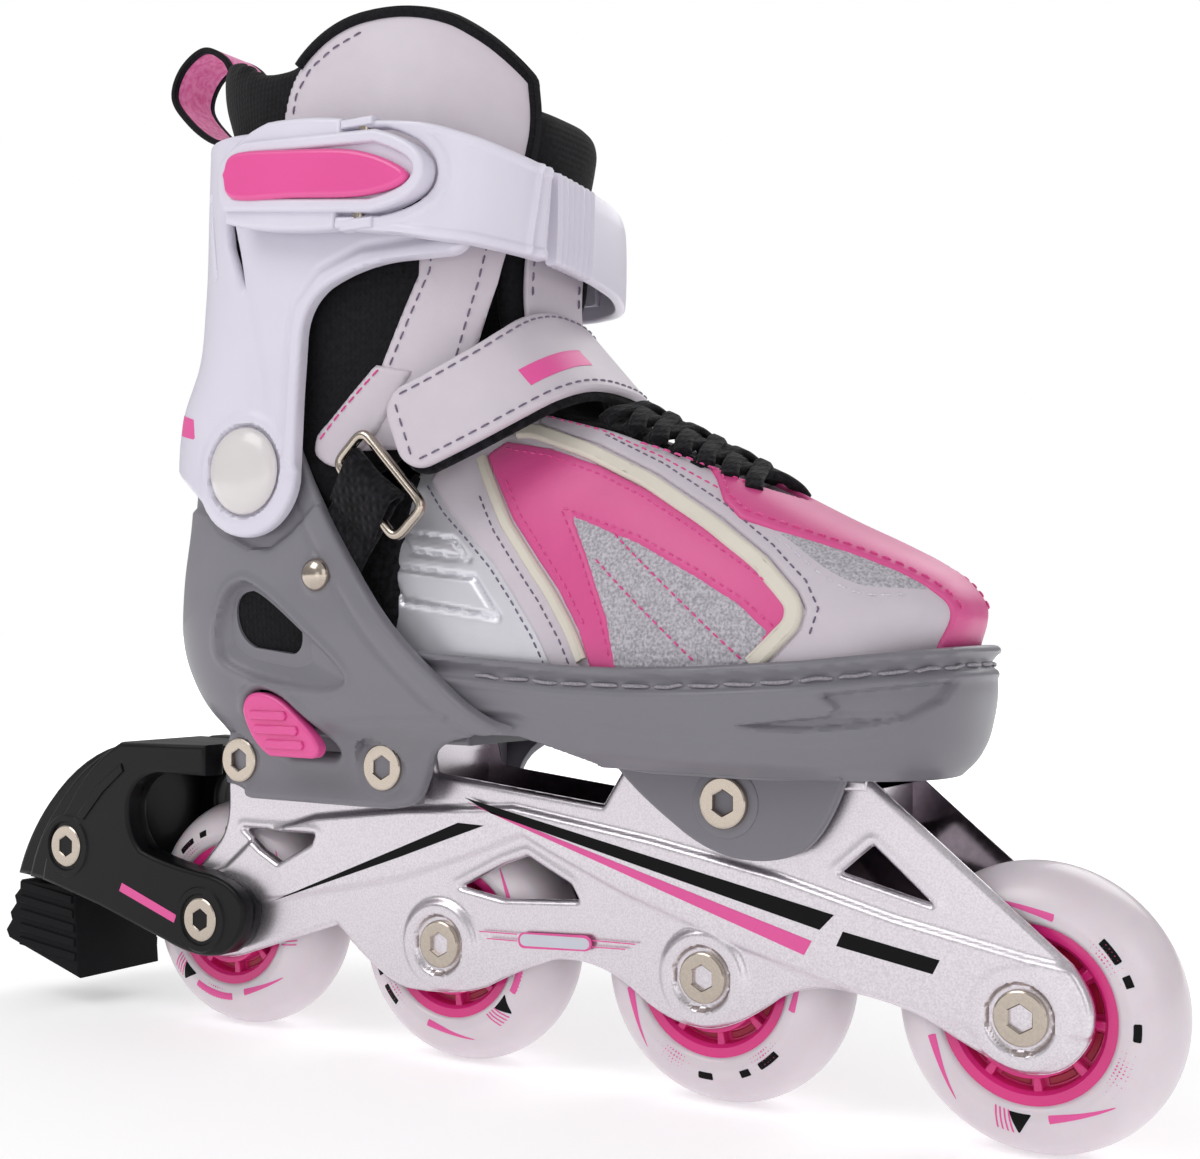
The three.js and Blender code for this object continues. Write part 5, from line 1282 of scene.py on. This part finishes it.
def upperGrid():
    stations = np.concatenate([np.arange(-59.6, 52, step),
                               50 + 51.3 * np.sin(np.linspace(0.045, math.pi / 2, int(72 / step)))])
    across = int(176 / step)
    columns = []
    for x in stations:
        half, top, power = upperShape(x)
        a = np.linspace(0, math.pi, 480)
        c, s = np.cos(a), np.maximum(np.sin(a), 0)
        y = -half * np.sign(c) * np.abs(c) ** power
        z = upperSpring + (top - upperSpring) * s ** 0.86
        low = [(-half + 3.6 * t, upperSpring - 9 * t) for t in (1, 0.66, 0.33)]
        ring = np.vstack([low, np.stack([y, z], 1), [(-p, q) for p, q in low[::-1]]])
        ring = evenly(ring, across)
        columns.append(np.column_stack([np.full(across, x), ring]))
    grid = np.array(columns)
    grid[..., 0] -= 4.6 * smoothStep(121, 109, grid[..., 2]) * smoothStep(74, 100, grid[..., 0])  # the toe tucks into the tray
    return grid


whiteBandEdge = [(-37, 151), (-30, 143.5), (-21.5, 136.6), (-13.5, 129.6), (-6.4, 121.6), (0.6, 112.6), (6.4, 103)]
pinkEdge = np.array([
    (-19.7, 156.9), (-14.6, 160.2), (-1.4, 157.8), (13.5, 152.8), (28.4, 146.2), (42.7, 138.3), (56.7, 130), (65.7,
    124.4), (68.8, 119.3), (68, 115.5), (66, 112), (56, 103), (18.7, 103), (13.9, 113.8), (7.1, 123.2), (0.5, 130.5),
    (-8.4, 140.4), (-14.4, 149.3)], float)
meshEdge = np.array([
    (9.1, 140.5), (28.8, 133.7), (45.9, 125.4), (56.3, 119.8), (63.6, 113.9), (58, 103.5), (26, 103.5), (22.5, 116.5),
    (15.3, 130.3)], float)
pipingLine = [
    (-7.8, 164.7), (10.4, 158.8), (28.4, 150.7), (47.2, 140), (61, 130.6), (69.1, 123), (71.6, 118.8), (70.6, 114.4),
    (66.5, 109.5), (60, 103.5)]
pipingTop = [
    (-12, 162.6), (-7.4, 162.4), (9.2, 156.6), (27, 148.7), (45.7, 138), (59.4, 129), (67.2, 121.6), (69.4, 118.6),
    (68.8, 115.4), (64.8, 110.6), (58.6, 104.6)]
pipingRear = [(-21, 156), (-16.2, 148.6), (-10.2, 139.4), (-1.4, 129.4), (5.2, 122), (11.8, 113), (16.4, 104.8)]
whiteFront = np.array([
    (-7.8, 164.7), (10.4, 158.8), (28.4, 150.7), (47.2, 140), (61, 130.6), (69.1, 123), (71.6, 118.8), (70.6, 114.4),
    (66.5, 109.5), (60, 103.5), (60, 80), (120, 80), (120, 200), (-8, 200)], float)
throatHalf = [[-62, 17], [-20, 16.2], [20, 14], [44, 11.4], [51, 9.6], [55, 5], [56.4, 0.5]]
toeStripLow = [[
    36, 11.4], [41.3, 16.2], [46, 21.6], [51.9, 24.2], [61.3, 23.1], [72.5, 20.8], [83.3, 17.8], [92, 14.5], [98, 10.5],
    [101, 6]]


def throatAt(x):
    return np.where(x > 56.4, -1.0, np.interp(x, [r[0] for r in throatHalf], [r[1] for r in throatHalf]))


upperLayers = {
    "shell": {"thickness": 3.2, "rounding": 1.0},
    "vamp": {"thickness": 1.2, "rounding": 0.5, "lift": 0.75},
    "flank": {"thickness": 1.1, "rounding": 0.5, "lift": 0.5},
    "pink": {"thickness": 1.3, "rounding": 0.6, "lift": 1.2},
    "mesh": {"thickness": 1.0, "rounding": 0.3, "lift": 0.85},
    "hook": {"thickness": 1.8, "rounding": 0.8, "lift": 1.1},
    "sliver": {"thickness": 0.8, "rounding": 0.2, "lift": 0.9},
    "toe": {"thickness": 1.5, "rounding": 0.7, "lift": 1.6},
    "piping": {"top": 4.2, "rear": 3.1},
}


def makeUpper():
    grid = upperGrid()
    rear = outline((-59, 80), (140, 80), (140, 220), (-20, 220), (-20, 190), (-36.6, 158.6), (-58.6, 137.8))

    def body(x, y, z):
        opening = np.where(z > 118, np.abs(y) - throatAt(x), 50)
        return np.minimum(np.minimum(inside(rear, x, z), opening), z - 92 - 13 * smoothStep(40, 70, x))

    def bodyRelief(x, y, z):
        up = np.zeros(x.shape)
        for shape in ([(-48.2, 129.4), (-19.4, 126.4), (-10.8, 116.4), (-42.1, 120.2)],
                      [(-45.2, 138.2), (-26.4, 135.8), (-21.1, 130.7), (-41, 133)]):
            f = inside(np.array(shape, float), x, z)
            up = up - 0.85 * np.exp(-(f / 0.5) ** 2) + 0.35 * smoothStep(0.4, 1.0, f)
        up = up + 0.35 * np.sin(x * 0.35 + z * 0.12) * smoothStep(-20, -40, x) * smoothStep(140, 150, z)
        return up
    base = skin("upper_shell", grid, body, silverLeather, None, **upperLayers["shell"], relief=bodyRelief,
                slot="upper_white", sharp=60)
    layers = [base]

    def front(x, y, z):
        f = np.minimum(inside(whiteFront, x, z), body(x, y, z))
        return np.where((np.abs(y) < 12) & (x < 60), np.minimum(body(x, y, z), 3), f)
    layers.append(skin("upper_white_vamp", grid, front, whiteLeather, None, **upperLayers["vamp"],
                       slot="upper_white", sharp=60))

    def flank(x, y, z):
        edge = np.array(whiteBandEdge + [(14.2, 96), (90, 96), (90, 118),
                                         (71.6, 118.8)] + pipingLine[::-1][4:] + [(-7.8, 164.7),
                         (-22, 160), (-34, 156)], float)
        return np.minimum(inside(edge, x, z), body(x, y, z))
    layers.append(skin("upper_white_flank", grid, flank, whiteLeather, None, **upperLayers["flank"],
                       slot="upper_white", sharp=60))

    def pink(x, y, z):
        return np.minimum(np.maximum(np.minimum(inside(pinkEdge, x, z), -inside(meshEdge, x, z)), -50), body(x, y, z) - 0.5)
    layers.append(skin("upper_pink_overlay", grid, pink, pinkLeather, None, **upperLayers["pink"],
                       slot="pink_plastic", sharp=60))

    def mesh(x, y, z):
        return inside(meshEdge, x, z) + 1.5

    def ribbed(x, y, z):
        up = np.zeros(x.shape)
        for line in ([(19.5, 138), (58.6, 107.6)], [(17, 130.6), (46.8, 107)]):
            up = up - 0.22 * np.exp(-(nearLine(line, x, z) / 0.8) ** 2)
        return up
    layers.append(skin("upper_mesh_window", grid, mesh, greyMesh, None, **upperLayers["mesh"], relief=ribbed,
                       slot="upper_white", sharp=60))

    def sliverHalf(x):
        low = np.interp(x, [r[0] for r in toeStripLow], [r[1] for r in toeStripLow])
        return low + 6.2 * np.sin(math.pi * np.clip((x - 60) / 33, 0, 1) ** 1.3) ** 0.9

    def sliver(x, y, z):
        low = np.interp(x, [r[0] for r in toeStripLow], [r[1] for r in toeStripLow])
        return np.minimum(np.minimum(sliverHalf(x) - np.abs(y), np.abs(y) - low + 1.2), np.minimum(x - 60, 93 - x))
    hook = np.array([(-62, 170), (-41, 152), (-44.6, 132), (-43.4, 117), (-46.5, 100), (-62, 96)], float)
    layers.append(skin("upper_hook_patch", grid, lambda x, y, z: np.minimum(inside(hook, x, z), body(x, y, z)), blackWebbing,
                       None,
                       **upperLayers["hook"], slot="webbing", sharp=60))
    layers.append(skin("upper_mesh_sliver", grid, sliver, greyMesh, None, **upperLayers["sliver"],
                       slot="upper_white", sharp=60))

    def strip(x, y, z):
        low = np.interp(x, [r[0] for r in toeStripLow], [r[1] for r in toeStripLow])
        return np.minimum(np.minimum((low - np.abs(y)) * 0.8, x - 36), np.minimum(np.abs(y) - throatAt(x), z - 108))
    layers.append(skin("upper_pink_toe", grid, strip, pinkLeather, None, **upperLayers["toe"],
                       slot="pink_plastic", sharp=60))
    for side, name in bothSides:
        for label, points in (("top", pipingTop), ("rear", pipingRear)):
            line, out = onUpper(points, side, 0.9)
            line, out = throughPoints(line[::4], 90), evenly(out, 90)
            tangent = np.gradient(line, axis=0)
            flat = np.cross(tangent, out)
            layers.append(sweep(f"upper_piping_{label}_{name}", line,
                                stripSection(upperLayers["piping"][label], 2.2, 1.08, 0.25),
                                lambda t: flat[min(89, int(round(t * 89)))], creamPiping, None))
        sewn = {
            "overlay_top": (pinkEdge[1:9] + [0, -2.0], threadPink, 1.3),
            "overlay_left": (pinkEdge[13:18] + [2.2, 1.0], threadPink, 1.3),
            "overlay_inner": (np.array([(5.6, 142.8), (28.8, 135.4), (45.9, 127.2), (57.4, 121), (65.6, 114.6)]), threadPink,
                              1.3),
            "overlay_inner_left": (np.array([(5.6, 142.2), (13.4, 130.4), (20.6, 116.4), (24, 107.6)]), threadPink, 1.3),
            "window_1": (np.array([(19.5, 138), (58.6, 107.6)]), threadPink, 0.75),
            "window_2": (np.array([(17, 130.6), (46.8, 107)]), threadPink, 0.75),
            "eyestay": (np.array([(-8.1, 166.9), (9.4, 162.2), (26.4, 155), (43.3, 146.6)]), threadPink, 0.8),
            "vamp": (np.array([(10.4, 161.2), (28.4, 153), (47.2, 142.4), (61, 133), (70.4, 125), (74.2, 119), (73, 113)]),
                     threadGrey, 0.8),
            "rear_1": (np.array(pipingRear[1:]) + [-3.9, -1.6], threadGrey, 0.6),
            "rear_2": (np.array(whiteBandEdge) + [-1.3, -0.6], threadGrey, 0.1),
        }
        for label, (points, thread, lift) in sewn.items():
            line, out = onUpper(points, side, 0)
            layers.append(stitches(f"upper_stitch_{label}_{name}", line, thread, None, lift=lift, out=out, length=1.7,
                                   gap=0.8, radius=0.24))
        line, out = overUpper([(x, float(sliverHalf(x)) + 1.3) for x in range(60, 93, 3)], side, 0)
        layers.append(stitches(f"upper_stitch_sliver_{name}", line, threadPale, None, lift=0.8, out=out))
        low = [(x, y - 2.0) for x, y in toeStripLow[1:-1]]
        line, out = overUpper(low, side, 0)
        layers.append(stitches(f"upper_stitch_toe_{name}", line, threadPink, None, lift=1.75, out=out, length=2.1, gap=0.9))
        line, out = overUpper([(x, y + 2.0) for x, y in throatHalf[2:5]], side, 0)
        layers.append(stitches(f"upper_stitch_throat_{name}", line, threadPink, None, lift=1.75, out=out, length=2.1, gap=0.9))
    for layer in layers:
        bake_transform(layer)
    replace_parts(base, "quarter", "vamp")


makeUpper()
print("upper made")


# padded liner, its white panels and the pull loop

collarRows = [[
    87.4, -106, 25, -34], [95, -117, 27.4, -34], [106, -122.4, 29.6, -32], [120, -123.6, 31.2, -28], [140, -120.6, 32.2,
    -20], [160, -118.4, 33.2, -14], [185, -114, 34, -12], [205, -112.4, 34.4, -11], [247, -112.6, 34.2, -11], [258,
    -117, 33.4, -12], [274, -118.4, 31.6, -16]]


def collarShape(z):
    back, half, front = (fromRows(collarRows, z, k) for k in (1, 2, 3))
    return (back + front) / 2, (front - back) / 2, half


def onCollar(points, side=-1, lift=0.0, gap=1.0):  # A line in x and z laid on one side of the liner
    points = np.array(points, float)
    line = evenly(points, max(2, int(np.linalg.norm(np.diff(points, axis=0), axis=1).sum() / gap)))
    middle, length, half = collarShape(line[:, 1])
    c = np.clip(np.abs(line[:, 0] - middle) / length, 0, 0.9995) ** (1 / 0.72)
    y = side * half * np.sqrt(1 - c * c) ** 0.72
    p = np.stack([line[:, 0], y, line[:, 1]], 1)

    def value(q):
        m, l, h = collarShape(q[:, 2])
        return (np.abs(q[:, 0] - m) / l) ** (2 / 0.72) + (np.abs(q[:, 1]) / h) ** (2 / 0.72)
    n = np.stack([value(p + d) - value(p - d) for d in np.eye(3) * 0.15], 1)
    n /= np.maximum(np.linalg.norm(n, axis=1, keepdims=True), 1e-9)
    return p + n * lift, n


def collarGrid(z0, z1, pitch):
    heights = np.arange(z0, z1, pitch)
    count = int(250 / pitch)
    columns = []
    dense = np.linspace(0, 2 * math.pi, 900)
    for z in heights:
        middle, length, half = collarShape(z)
        c, s = np.cos(dense), np.sin(dense)
        ring = np.stack([middle - length * np.sign(c) * np.abs(c) ** 0.72, -half * np.sign(s) * np.abs(s) ** 0.72], 1)
        ring = evenly(ring, count + 1)[:-1]
        columns.append(np.column_stack([ring, np.full(count, z)]))
    return np.transpose(np.array(columns), (1, 0, 2))


linerNear = outline(
    (-140, 88), (-59.4, 88), (-59.4, 138), (-56, 150, -40.6, 154.6), (-38, 158), (-28, 180, -18, 205), (-12, 232), (-11,
    253, -20, 261), (-32, 270.6, -42, 271), (-58, 272, -72, 265), (-84, 260, -94, 265), (-108, 273.4, -140, 273.4))
linerFar = outline(
    (-140, 88), (-59.4, 88), (-59.4, 138), (-56, 150, -40.6, 154.6), (-38, 158), (-28, 180, -18, 205), (-16, 214), (-22,
    236, -52, 244), (-78, 250, -94, 265), (-108, 273.4, -140, 273.4))
flapEdge = outline(
    (-77.4, 240), (-76.6, 246.6), (-75.6, 257, -69, 262.4), (-62, 268.6, -52, 269.6), (-38, 271, -28, 266.2), (-18,
    260.6, -13.4, 252), (-12.2, 243, -13.4, 231), (-16, 219), (-77, 226))
facing = outline((-34, 216), (-15, 214.6), (-17.5, 200), (-22.6, 180), (-34, 158.6), (-54, 158.6), (-45.6, 178), (-34.4, 202))


# Pumps the foam up as a sewn cover would hold it, and keeps each point within cap of where it began
def inflate(piece, pressure, cap, voxel, frames=20):
    bpy.context.view_layer.objects.active = piece
    remesh = piece.modifiers.new("remesh", "REMESH")
    remesh.mode = "VOXEL"
    remesh.voxel_size = voxel
    remesh.use_smooth_shade = True
    deps = bpy.context.evaluated_depsgraph_get()
    fresh = bpy.data.meshes.new_from_object(piece.evaluated_get(deps))
    piece.modifiers.clear()
    old = piece.data
    piece.data = fresh
    bpy.data.meshes.remove(old)
    count = len(fresh.vertices)
    before = np.zeros(count * 3)
    fresh.vertices.foreach_get("co", before)
    cloth = piece.modifiers.new("foam", "CLOTH")
    cloth.settings.use_pressure = True
    cloth.settings.uniform_pressure_force = pressure
    cloth.settings.effector_weights.gravity = 0
    cloth.settings.quality = 4
    cloth.point_cache.frame_start = 1
    cloth.point_cache.frame_end = frames
    for number in range(1, frames + 1):
        scene.frame_set(number)
    after = np.zeros(count * 3)
    shown = piece.evaluated_get(bpy.context.evaluated_depsgraph_get()).to_mesh()
    shown.vertices.foreach_get("co", after)
    piece.evaluated_get(bpy.context.evaluated_depsgraph_get()).to_mesh_clear()
    piece.modifiers.clear()
    scene.frame_set(1)
    move = (after - before).reshape(-1, 3)
    far = np.linalg.norm(move, axis=1, keepdims=True)
    move = move * np.minimum(1, cap / np.maximum(far, 1e-9))
    fresh.vertices.foreach_set("co", (before.reshape(-1, 3) + move).ravel())
    fresh.update()
    smooth = piece.modifiers.new("smooth", "SUBSURF")
    smooth.levels = smooth.render_levels = 1
    done = bpy.data.meshes.new_from_object(piece.evaluated_get(bpy.context.evaluated_depsgraph_get()))
    piece.modifiers.clear()
    piece.data = done
    done.polygons.foreach_set("use_smooth", [True] * len(done.polygons))
    return piece


def collarPanel(name, grid, side, shape, material, lift, thickness=1.5, rounding=0.7, body="cuff", relief=None):
    def field(x, y, z):
        return np.minimum(inside(shape, x, z), side * y - 1)
    return skin(name, grid, field, material, body, thickness=thickness, rounding=rounding, lift=lift, closed=True,
                relief=relief, slot="upper_white", sharp=60)


linerFoam = {"pressure": 2.5, "cap": 0.0012, "voxel": 0.0028}


def makeLiner():
    pitch = 1.5
    grid = collarGrid(88.2, 273.6, pitch)

    def field(x, y, z):
        f = np.where(y < 0, inside(linerNear, x, z), inside(linerFar, x, z))
        mouth = np.where(x > -58, np.maximum(np.abs(y) - 18.6, -58 - x), 50)
        return np.minimum(f, mouth)
    liner = skin("liner_padded", grid, field, blackKnit, None, thickness=5.2, rounding=2.3, closed=True,
                 slot="liner_black", sharp=80, lift=-0.3)
    inflate(liner, **linerFoam)
    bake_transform(liner)
    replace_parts(liner, "collar", "heel_liner")
    grid = collarGrid(150, 276, 1.0)
    collarPanel("liner_flap_white", grid, -1, flapEdge, whiteLeather, 1.9, 1.7, 0.8)
    collarPanel("liner_facing_white", grid, -1, facing, whiteLeather, 1.5, 1.4, 0.6)
    tab = outline(
        (-65.4, 158.6), (-66, 163, -61, 166), (-46, 180), (-36, 178), (-46, 163), (-55, 154.6), (-62, 154, -65.4,
        158.6))
    collarPanel("liner_tab_white", grid, -1, tab, whiteLeather, 2.3, 1.6, 0.7)
    line, out = onCollar([(-63.4, 161.6), (-57, 168), (-44.6, 179)], -1, 0)
    stitches("liner_stitch_tab", line, threadPink, "cuff", lift=2.4, out=out, length=2.4, gap=0.8)
    rightSide = flapEdge[(flapEdge[:, 1] > 226) & (flapEdge[:, 0] > -72)]
    rightSide = rightSide[np.argsort(np.arctan2(rightSide[:, 1] - 236, rightSide[:, 0] + 48))[::-1]]
    line, out = onCollar(rightSide, -1, 1.5, 2.0)
    line = throughPoints(line, 110)
    sweep("liner_flap_binding", line, stripSection(3.6, 2.6, 1.0, 0.2), lambda t: (0.2, 1, 0.3), blackBinding, "cuff")
    left = np.array([(-73.6, 243), (-72.4, 252), (-68, 258.4), (-61, 262.6), (-52, 265.8)])
    line, out = onCollar(left, -1, 0)
    stitches("liner_stitch_flap", line, threadGrey, "cuff", lift=2.05, out=out, length=2.3, gap=1.0)
    for label, points in (("front", [(-18.6, 214), (-21, 200), (-26, 181), (-37, 160)]),
                          ("back", [(-30.6, 215), (-31.4, 203), (-42, 180), (-50.6, 160)])):
        line, out = onCollar(points, -1, 0)
        stitches(f"liner_stitch_facing_{label}", line, threadGrey, "cuff", lift=1.6, out=out, length=2.3, gap=1.0)
    loop = [(-118.2, 268.4), (-120.2, 271.4), (-124, 277.4), (-132, 281), (-140.4, 276.6), (-143.4, 268.6), (-137, 260.4),
            (-128, 254), (-118.6, 251.4)]
    line = throughPoints([(x, 0, z) for x, z in loop], 80)
    strap = sweep("pull_loop_woven", line, stripSection(13.6, 1.6, 0.4), lambda t: (0, 1, 0), pinkWebbing, "cuff")
    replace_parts(strap, "pull_loop")
    for side, name in bothSides:
        edge = line + np.array([0, side * 7.6, 0])
        sweep(f"pull_loop_border_{name}", edge, stripSection(2.0, 1.7, 0.5), lambda t: (0, 1, 0), blackBinding, "cuff")


tongueFoam = {"pressure": 3.0, "cap": 0.0015, "voxel": 0.002}


def makeTongue():
    path = [(50, 0, 138.4), (34, 0, 146), (14, 0, 155.6), (-2, 0, 165), (-13, 0, 177), (-19, 0, 190), (-20, 0, 204),
            (-17.4, 0, 222), (-12.6, 0, 246.4)]
    line = throughPoints(path, 90)

    def section(t):
        w = (24.5 + 12.5 * float(smoothStep(0.1, 0.6, t))) / 2
        h = (3.2 + 5.4 * float(smoothStep(0.4, 0.85, t))) / 2
        end = math.sqrt(max(1 - max((t - 0.955) / 0.047, 0) ** 2, 0.02))
        ring = []
        for k in range(28):
            a = 2 * math.pi * k / 28
            c, s = math.cos(a), math.sin(a)
            ring.append((w * (0.35 + 0.65 * end) * math.copysign(abs(c) ** 0.7, c), h * end * math.copysign(abs(s) ** 0.8, s)))
        return ring
    line = line + np.array([0, 0, 3.6]) * smoothStep(-6, 8, line[:, :1]) * smoothStep(52, 38, line[:, :1])
    tongue = sweep("tongue_padded", line, section, lambda t: (0, 1, 0), blackKnit, "chassis", sharp=80)
    inflate(tongue, **tongueFoam)
    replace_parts(tongue, "tongue")
    front = line[(line[:, 2] > 188) & (line[:, 2] < 214)]
    tab = lambda t: 27 * math.sqrt(max(1 - max((0.22 - t) / 0.235, 0) ** 2, 0.05))
    sweep("tongue_tab_white", throughPoints(front + np.array([5.0, 0, 0.2]), 40), stripSection(tab, 1.5, 0.6, 0.5),
                 lambda t: (0, 1, 0), whiteLeather, "chassis")
    for side in (-1, 1):
        edge = front[6:] + np.array([5.9, side * 11.2, 0.3])
        stitches(f"tongue_stitch_{'near' if side < 0 else 'far'}", edge, threadGrey, "chassis",
                 out=np.tile([1.0, 0, 0], (len(edge), 1)), lift=0.1)


lace = {"width": 4.4, "thickness": 2.3, "crossings": 6}


def makeLace():
    points = []
    for i in range(lace["crossings"]):
        x = 12 + 38 * i / lace["crossings"]
        top = upperShape(x)[1]
        for side in (-1, 1):
            direction = side if i % 2 else -side
            crossing = [(x - 2.6, -14.2 * direction, top - 1.2), (x - 1.2, -11.4 * direction, top + 1.1),
                        (x + 0.6, -5.5 * direction, top + 2.4), (x + 2.0, 0, top + (3.6 if side < 0 else 1.7)),
                        (x + 3.6, 5.5 * direction, top + 1.4), (x + 5.4, 11.4 * direction, top - 0.9),
                        (x + 6.6, 14.4 * direction, top - 3.6)]
            line = throughPoints(crossing, 44)
            piece = sweep(f"lace_crossing_{i + 1}_{'over' if side < 0 else 'under'}", line,
                          stripSection(lace["width"], lace["thickness"], 1.1, 0.15),
                          lambda t: (1, 0, -0.45), blackLace, "toe" if x > 24 else "chassis")
            points.append(piece)
    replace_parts(points[0], "lace")


def makeInstep():
    controls = [
        (-34, -42.2, 160.6), (-23, -39.4, 165.6), (-11, -34, 172.6), (-4.4, -26, 178.6), (-3, -14, 182.6), (-3.4, 0,
        183.6), (-5, 15, 181.6), (-10, 28, 174), (-17, 37, 162)]
    line = throughPoints(controls, 150)
    wide = np.array((15.4, 0, -16.5))
    wide = wide / np.linalg.norm(wide)
    widths = fromRows([[0, 22], [0.3, 24], [0.6, 29], [1, 26]], np.linspace(0, 1, 150))
    tangent = np.gradient(line, axis=0)
    tangent /= np.linalg.norm(tangent, axis=1, keepdims=True)
    up = wide[None, :] - tangent * (tangent @ wide)[:, None]
    up /= np.linalg.norm(up, axis=1, keepdims=True)
    out = np.cross(up, tangent)
    if out[75, 2] < 0:
        out = -out
    run = np.concatenate([[0], np.cumsum(np.linalg.norm(np.diff(line, axis=0), axis=1))])
    us = np.linspace(-1, 1, 45)

    def layerGrid(grow, level):
        w = widths + 2 * grow
        return line[:, None, :] + up[:, None, :] * (us[None, :, None] * w[:, None, None] / 2) + out[:, None, :] * level

    def layerField(grow, startAt):
        w = widths + 2 * grow
        across = us[None, :] * w[:, None] / 2
        s = run[:, None] - startAt + 0 * across
        corner = 7.0
        half = w[:, None] / 2 - 0.02
        dx = np.maximum(corner - s, 0)
        dy = np.maximum(np.abs(across) - (half - corner), 0)
        rounded = corner - np.hypot(dx, dy)
        f = np.minimum(np.where((dx > 0) & (dy > 0), rounded, np.minimum(half - np.abs(across), s)),
                       run[-1] - s - startAt + 0.02)
        return lambda x, y, z: f
    flip = float(np.cross(np.gradient(line, axis=0)[75], up[75]) @ out[75]) < 0
    white = skin("instep_strap_leather", layerGrid(0, 1.7), layerField(0, 0.0), whiteLeather, "chassis", thickness=1.9,
                 rounding=0.8, flip=flip, slot="upper_white", sharp=60)
    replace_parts(white, "instep_strap")
    skin("instep_strap_backing", layerGrid(0.9, -0.3) + wide * 0.6 + np.array([-0.2, 0, -0.2]), layerField(0.9, 0.5),
         blackWebbing,
         "chassis", thickness=1.5, rounding=0.6, flip=flip, slot="liner_black", sharp=60)
    for label, u in (("upper", -1), ("lower", 1)):
        offset = up * (u * (widths / 2 - 2.2))[:, None]
        edge = (line + offset + out * 1.75)[6:]
        stitches(f"instep_strap_stitch_{label}", edge, threadGrey, "chassis", out=out[6:], length=2.4, gap=1.0, lift=0.05)
    end = line[6] + up[6] * np.linspace(-1, 1, 12)[:, None] * (widths[6] / 2 - 3.4) - tangent[6] * 1.2 + out[6] * 1.75
    stitches("instep_strap_stitch_end", end, threadGrey, "chassis", out=np.repeat(out[6:7], 12, 0), length=2.4, gap=1.0,
             lift=0.05)
    bar = [int(np.searchsorted(run, v)) for v in (34, 57)]
    rows = line[bar[0]:bar[1]]
    mark = rows + up[bar[0]:bar[1]] * 3.4 + out[bar[0]:bar[1]] * 1.78
    sweep("instep_strap_mark", mark, stripSection(5.4, 0.16, 0.05), lambda t: up[bar[0]], printPink, "chassis")
    ring = np.array([(-46.6, -38.6, 163), (-27.5, -38.6, 143.6), (-36, -38.6, 135.6), (-55, -38.6, 155)])
    corners = []
    for k in range(4):
        a, b, c = ring[k - 1], ring[k], ring[(k + 1) % 4]
        into, away = (b - a) / np.linalg.norm(b - a), (c - b) / np.linalg.norm(c - b)
        for t in np.linspace(0, 1, 7):
            corners.append((1 - t) ** 2 * (b - into * 3) + 2 * t * (1 - t) * b + t * t * (b + away * 3))
    loop = sweep("strap_ring_wire", evenly(np.vstack([corners, corners[:1]]), 100)[:-1], roundSection(1.35, 16),
                 lambda t: (0, 1, 0), nickelPlate, "chassis", closed=True)
    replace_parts(loop, "strap_ring")
    webbing = throughPoints([
        (-62, -33, 126.6), (-57, -33.4, 135), (-50, -34.6, 143.6), (-43.5, -37.2, 150.6), (-41, -40.2, 151.6), (-43.4,
        -41.4, 149.2), (-50, -38.4, 141)], 60)
    tape = sweep("ring_webbing_woven", webbing, stripSection(17.6, 1.6, 0.5), lambda t: (15.4, 0, -13), blackWebbing,
                 "chassis")
    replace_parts(tape, "ring_webbing")


makeLiner()
makeTongue()
makeLace()
makeInstep()
print("soft goods made")

for materialSlot in bpy.data.objects["footbed"].material_slots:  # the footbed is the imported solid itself
    materialSlot.material = blackKnit
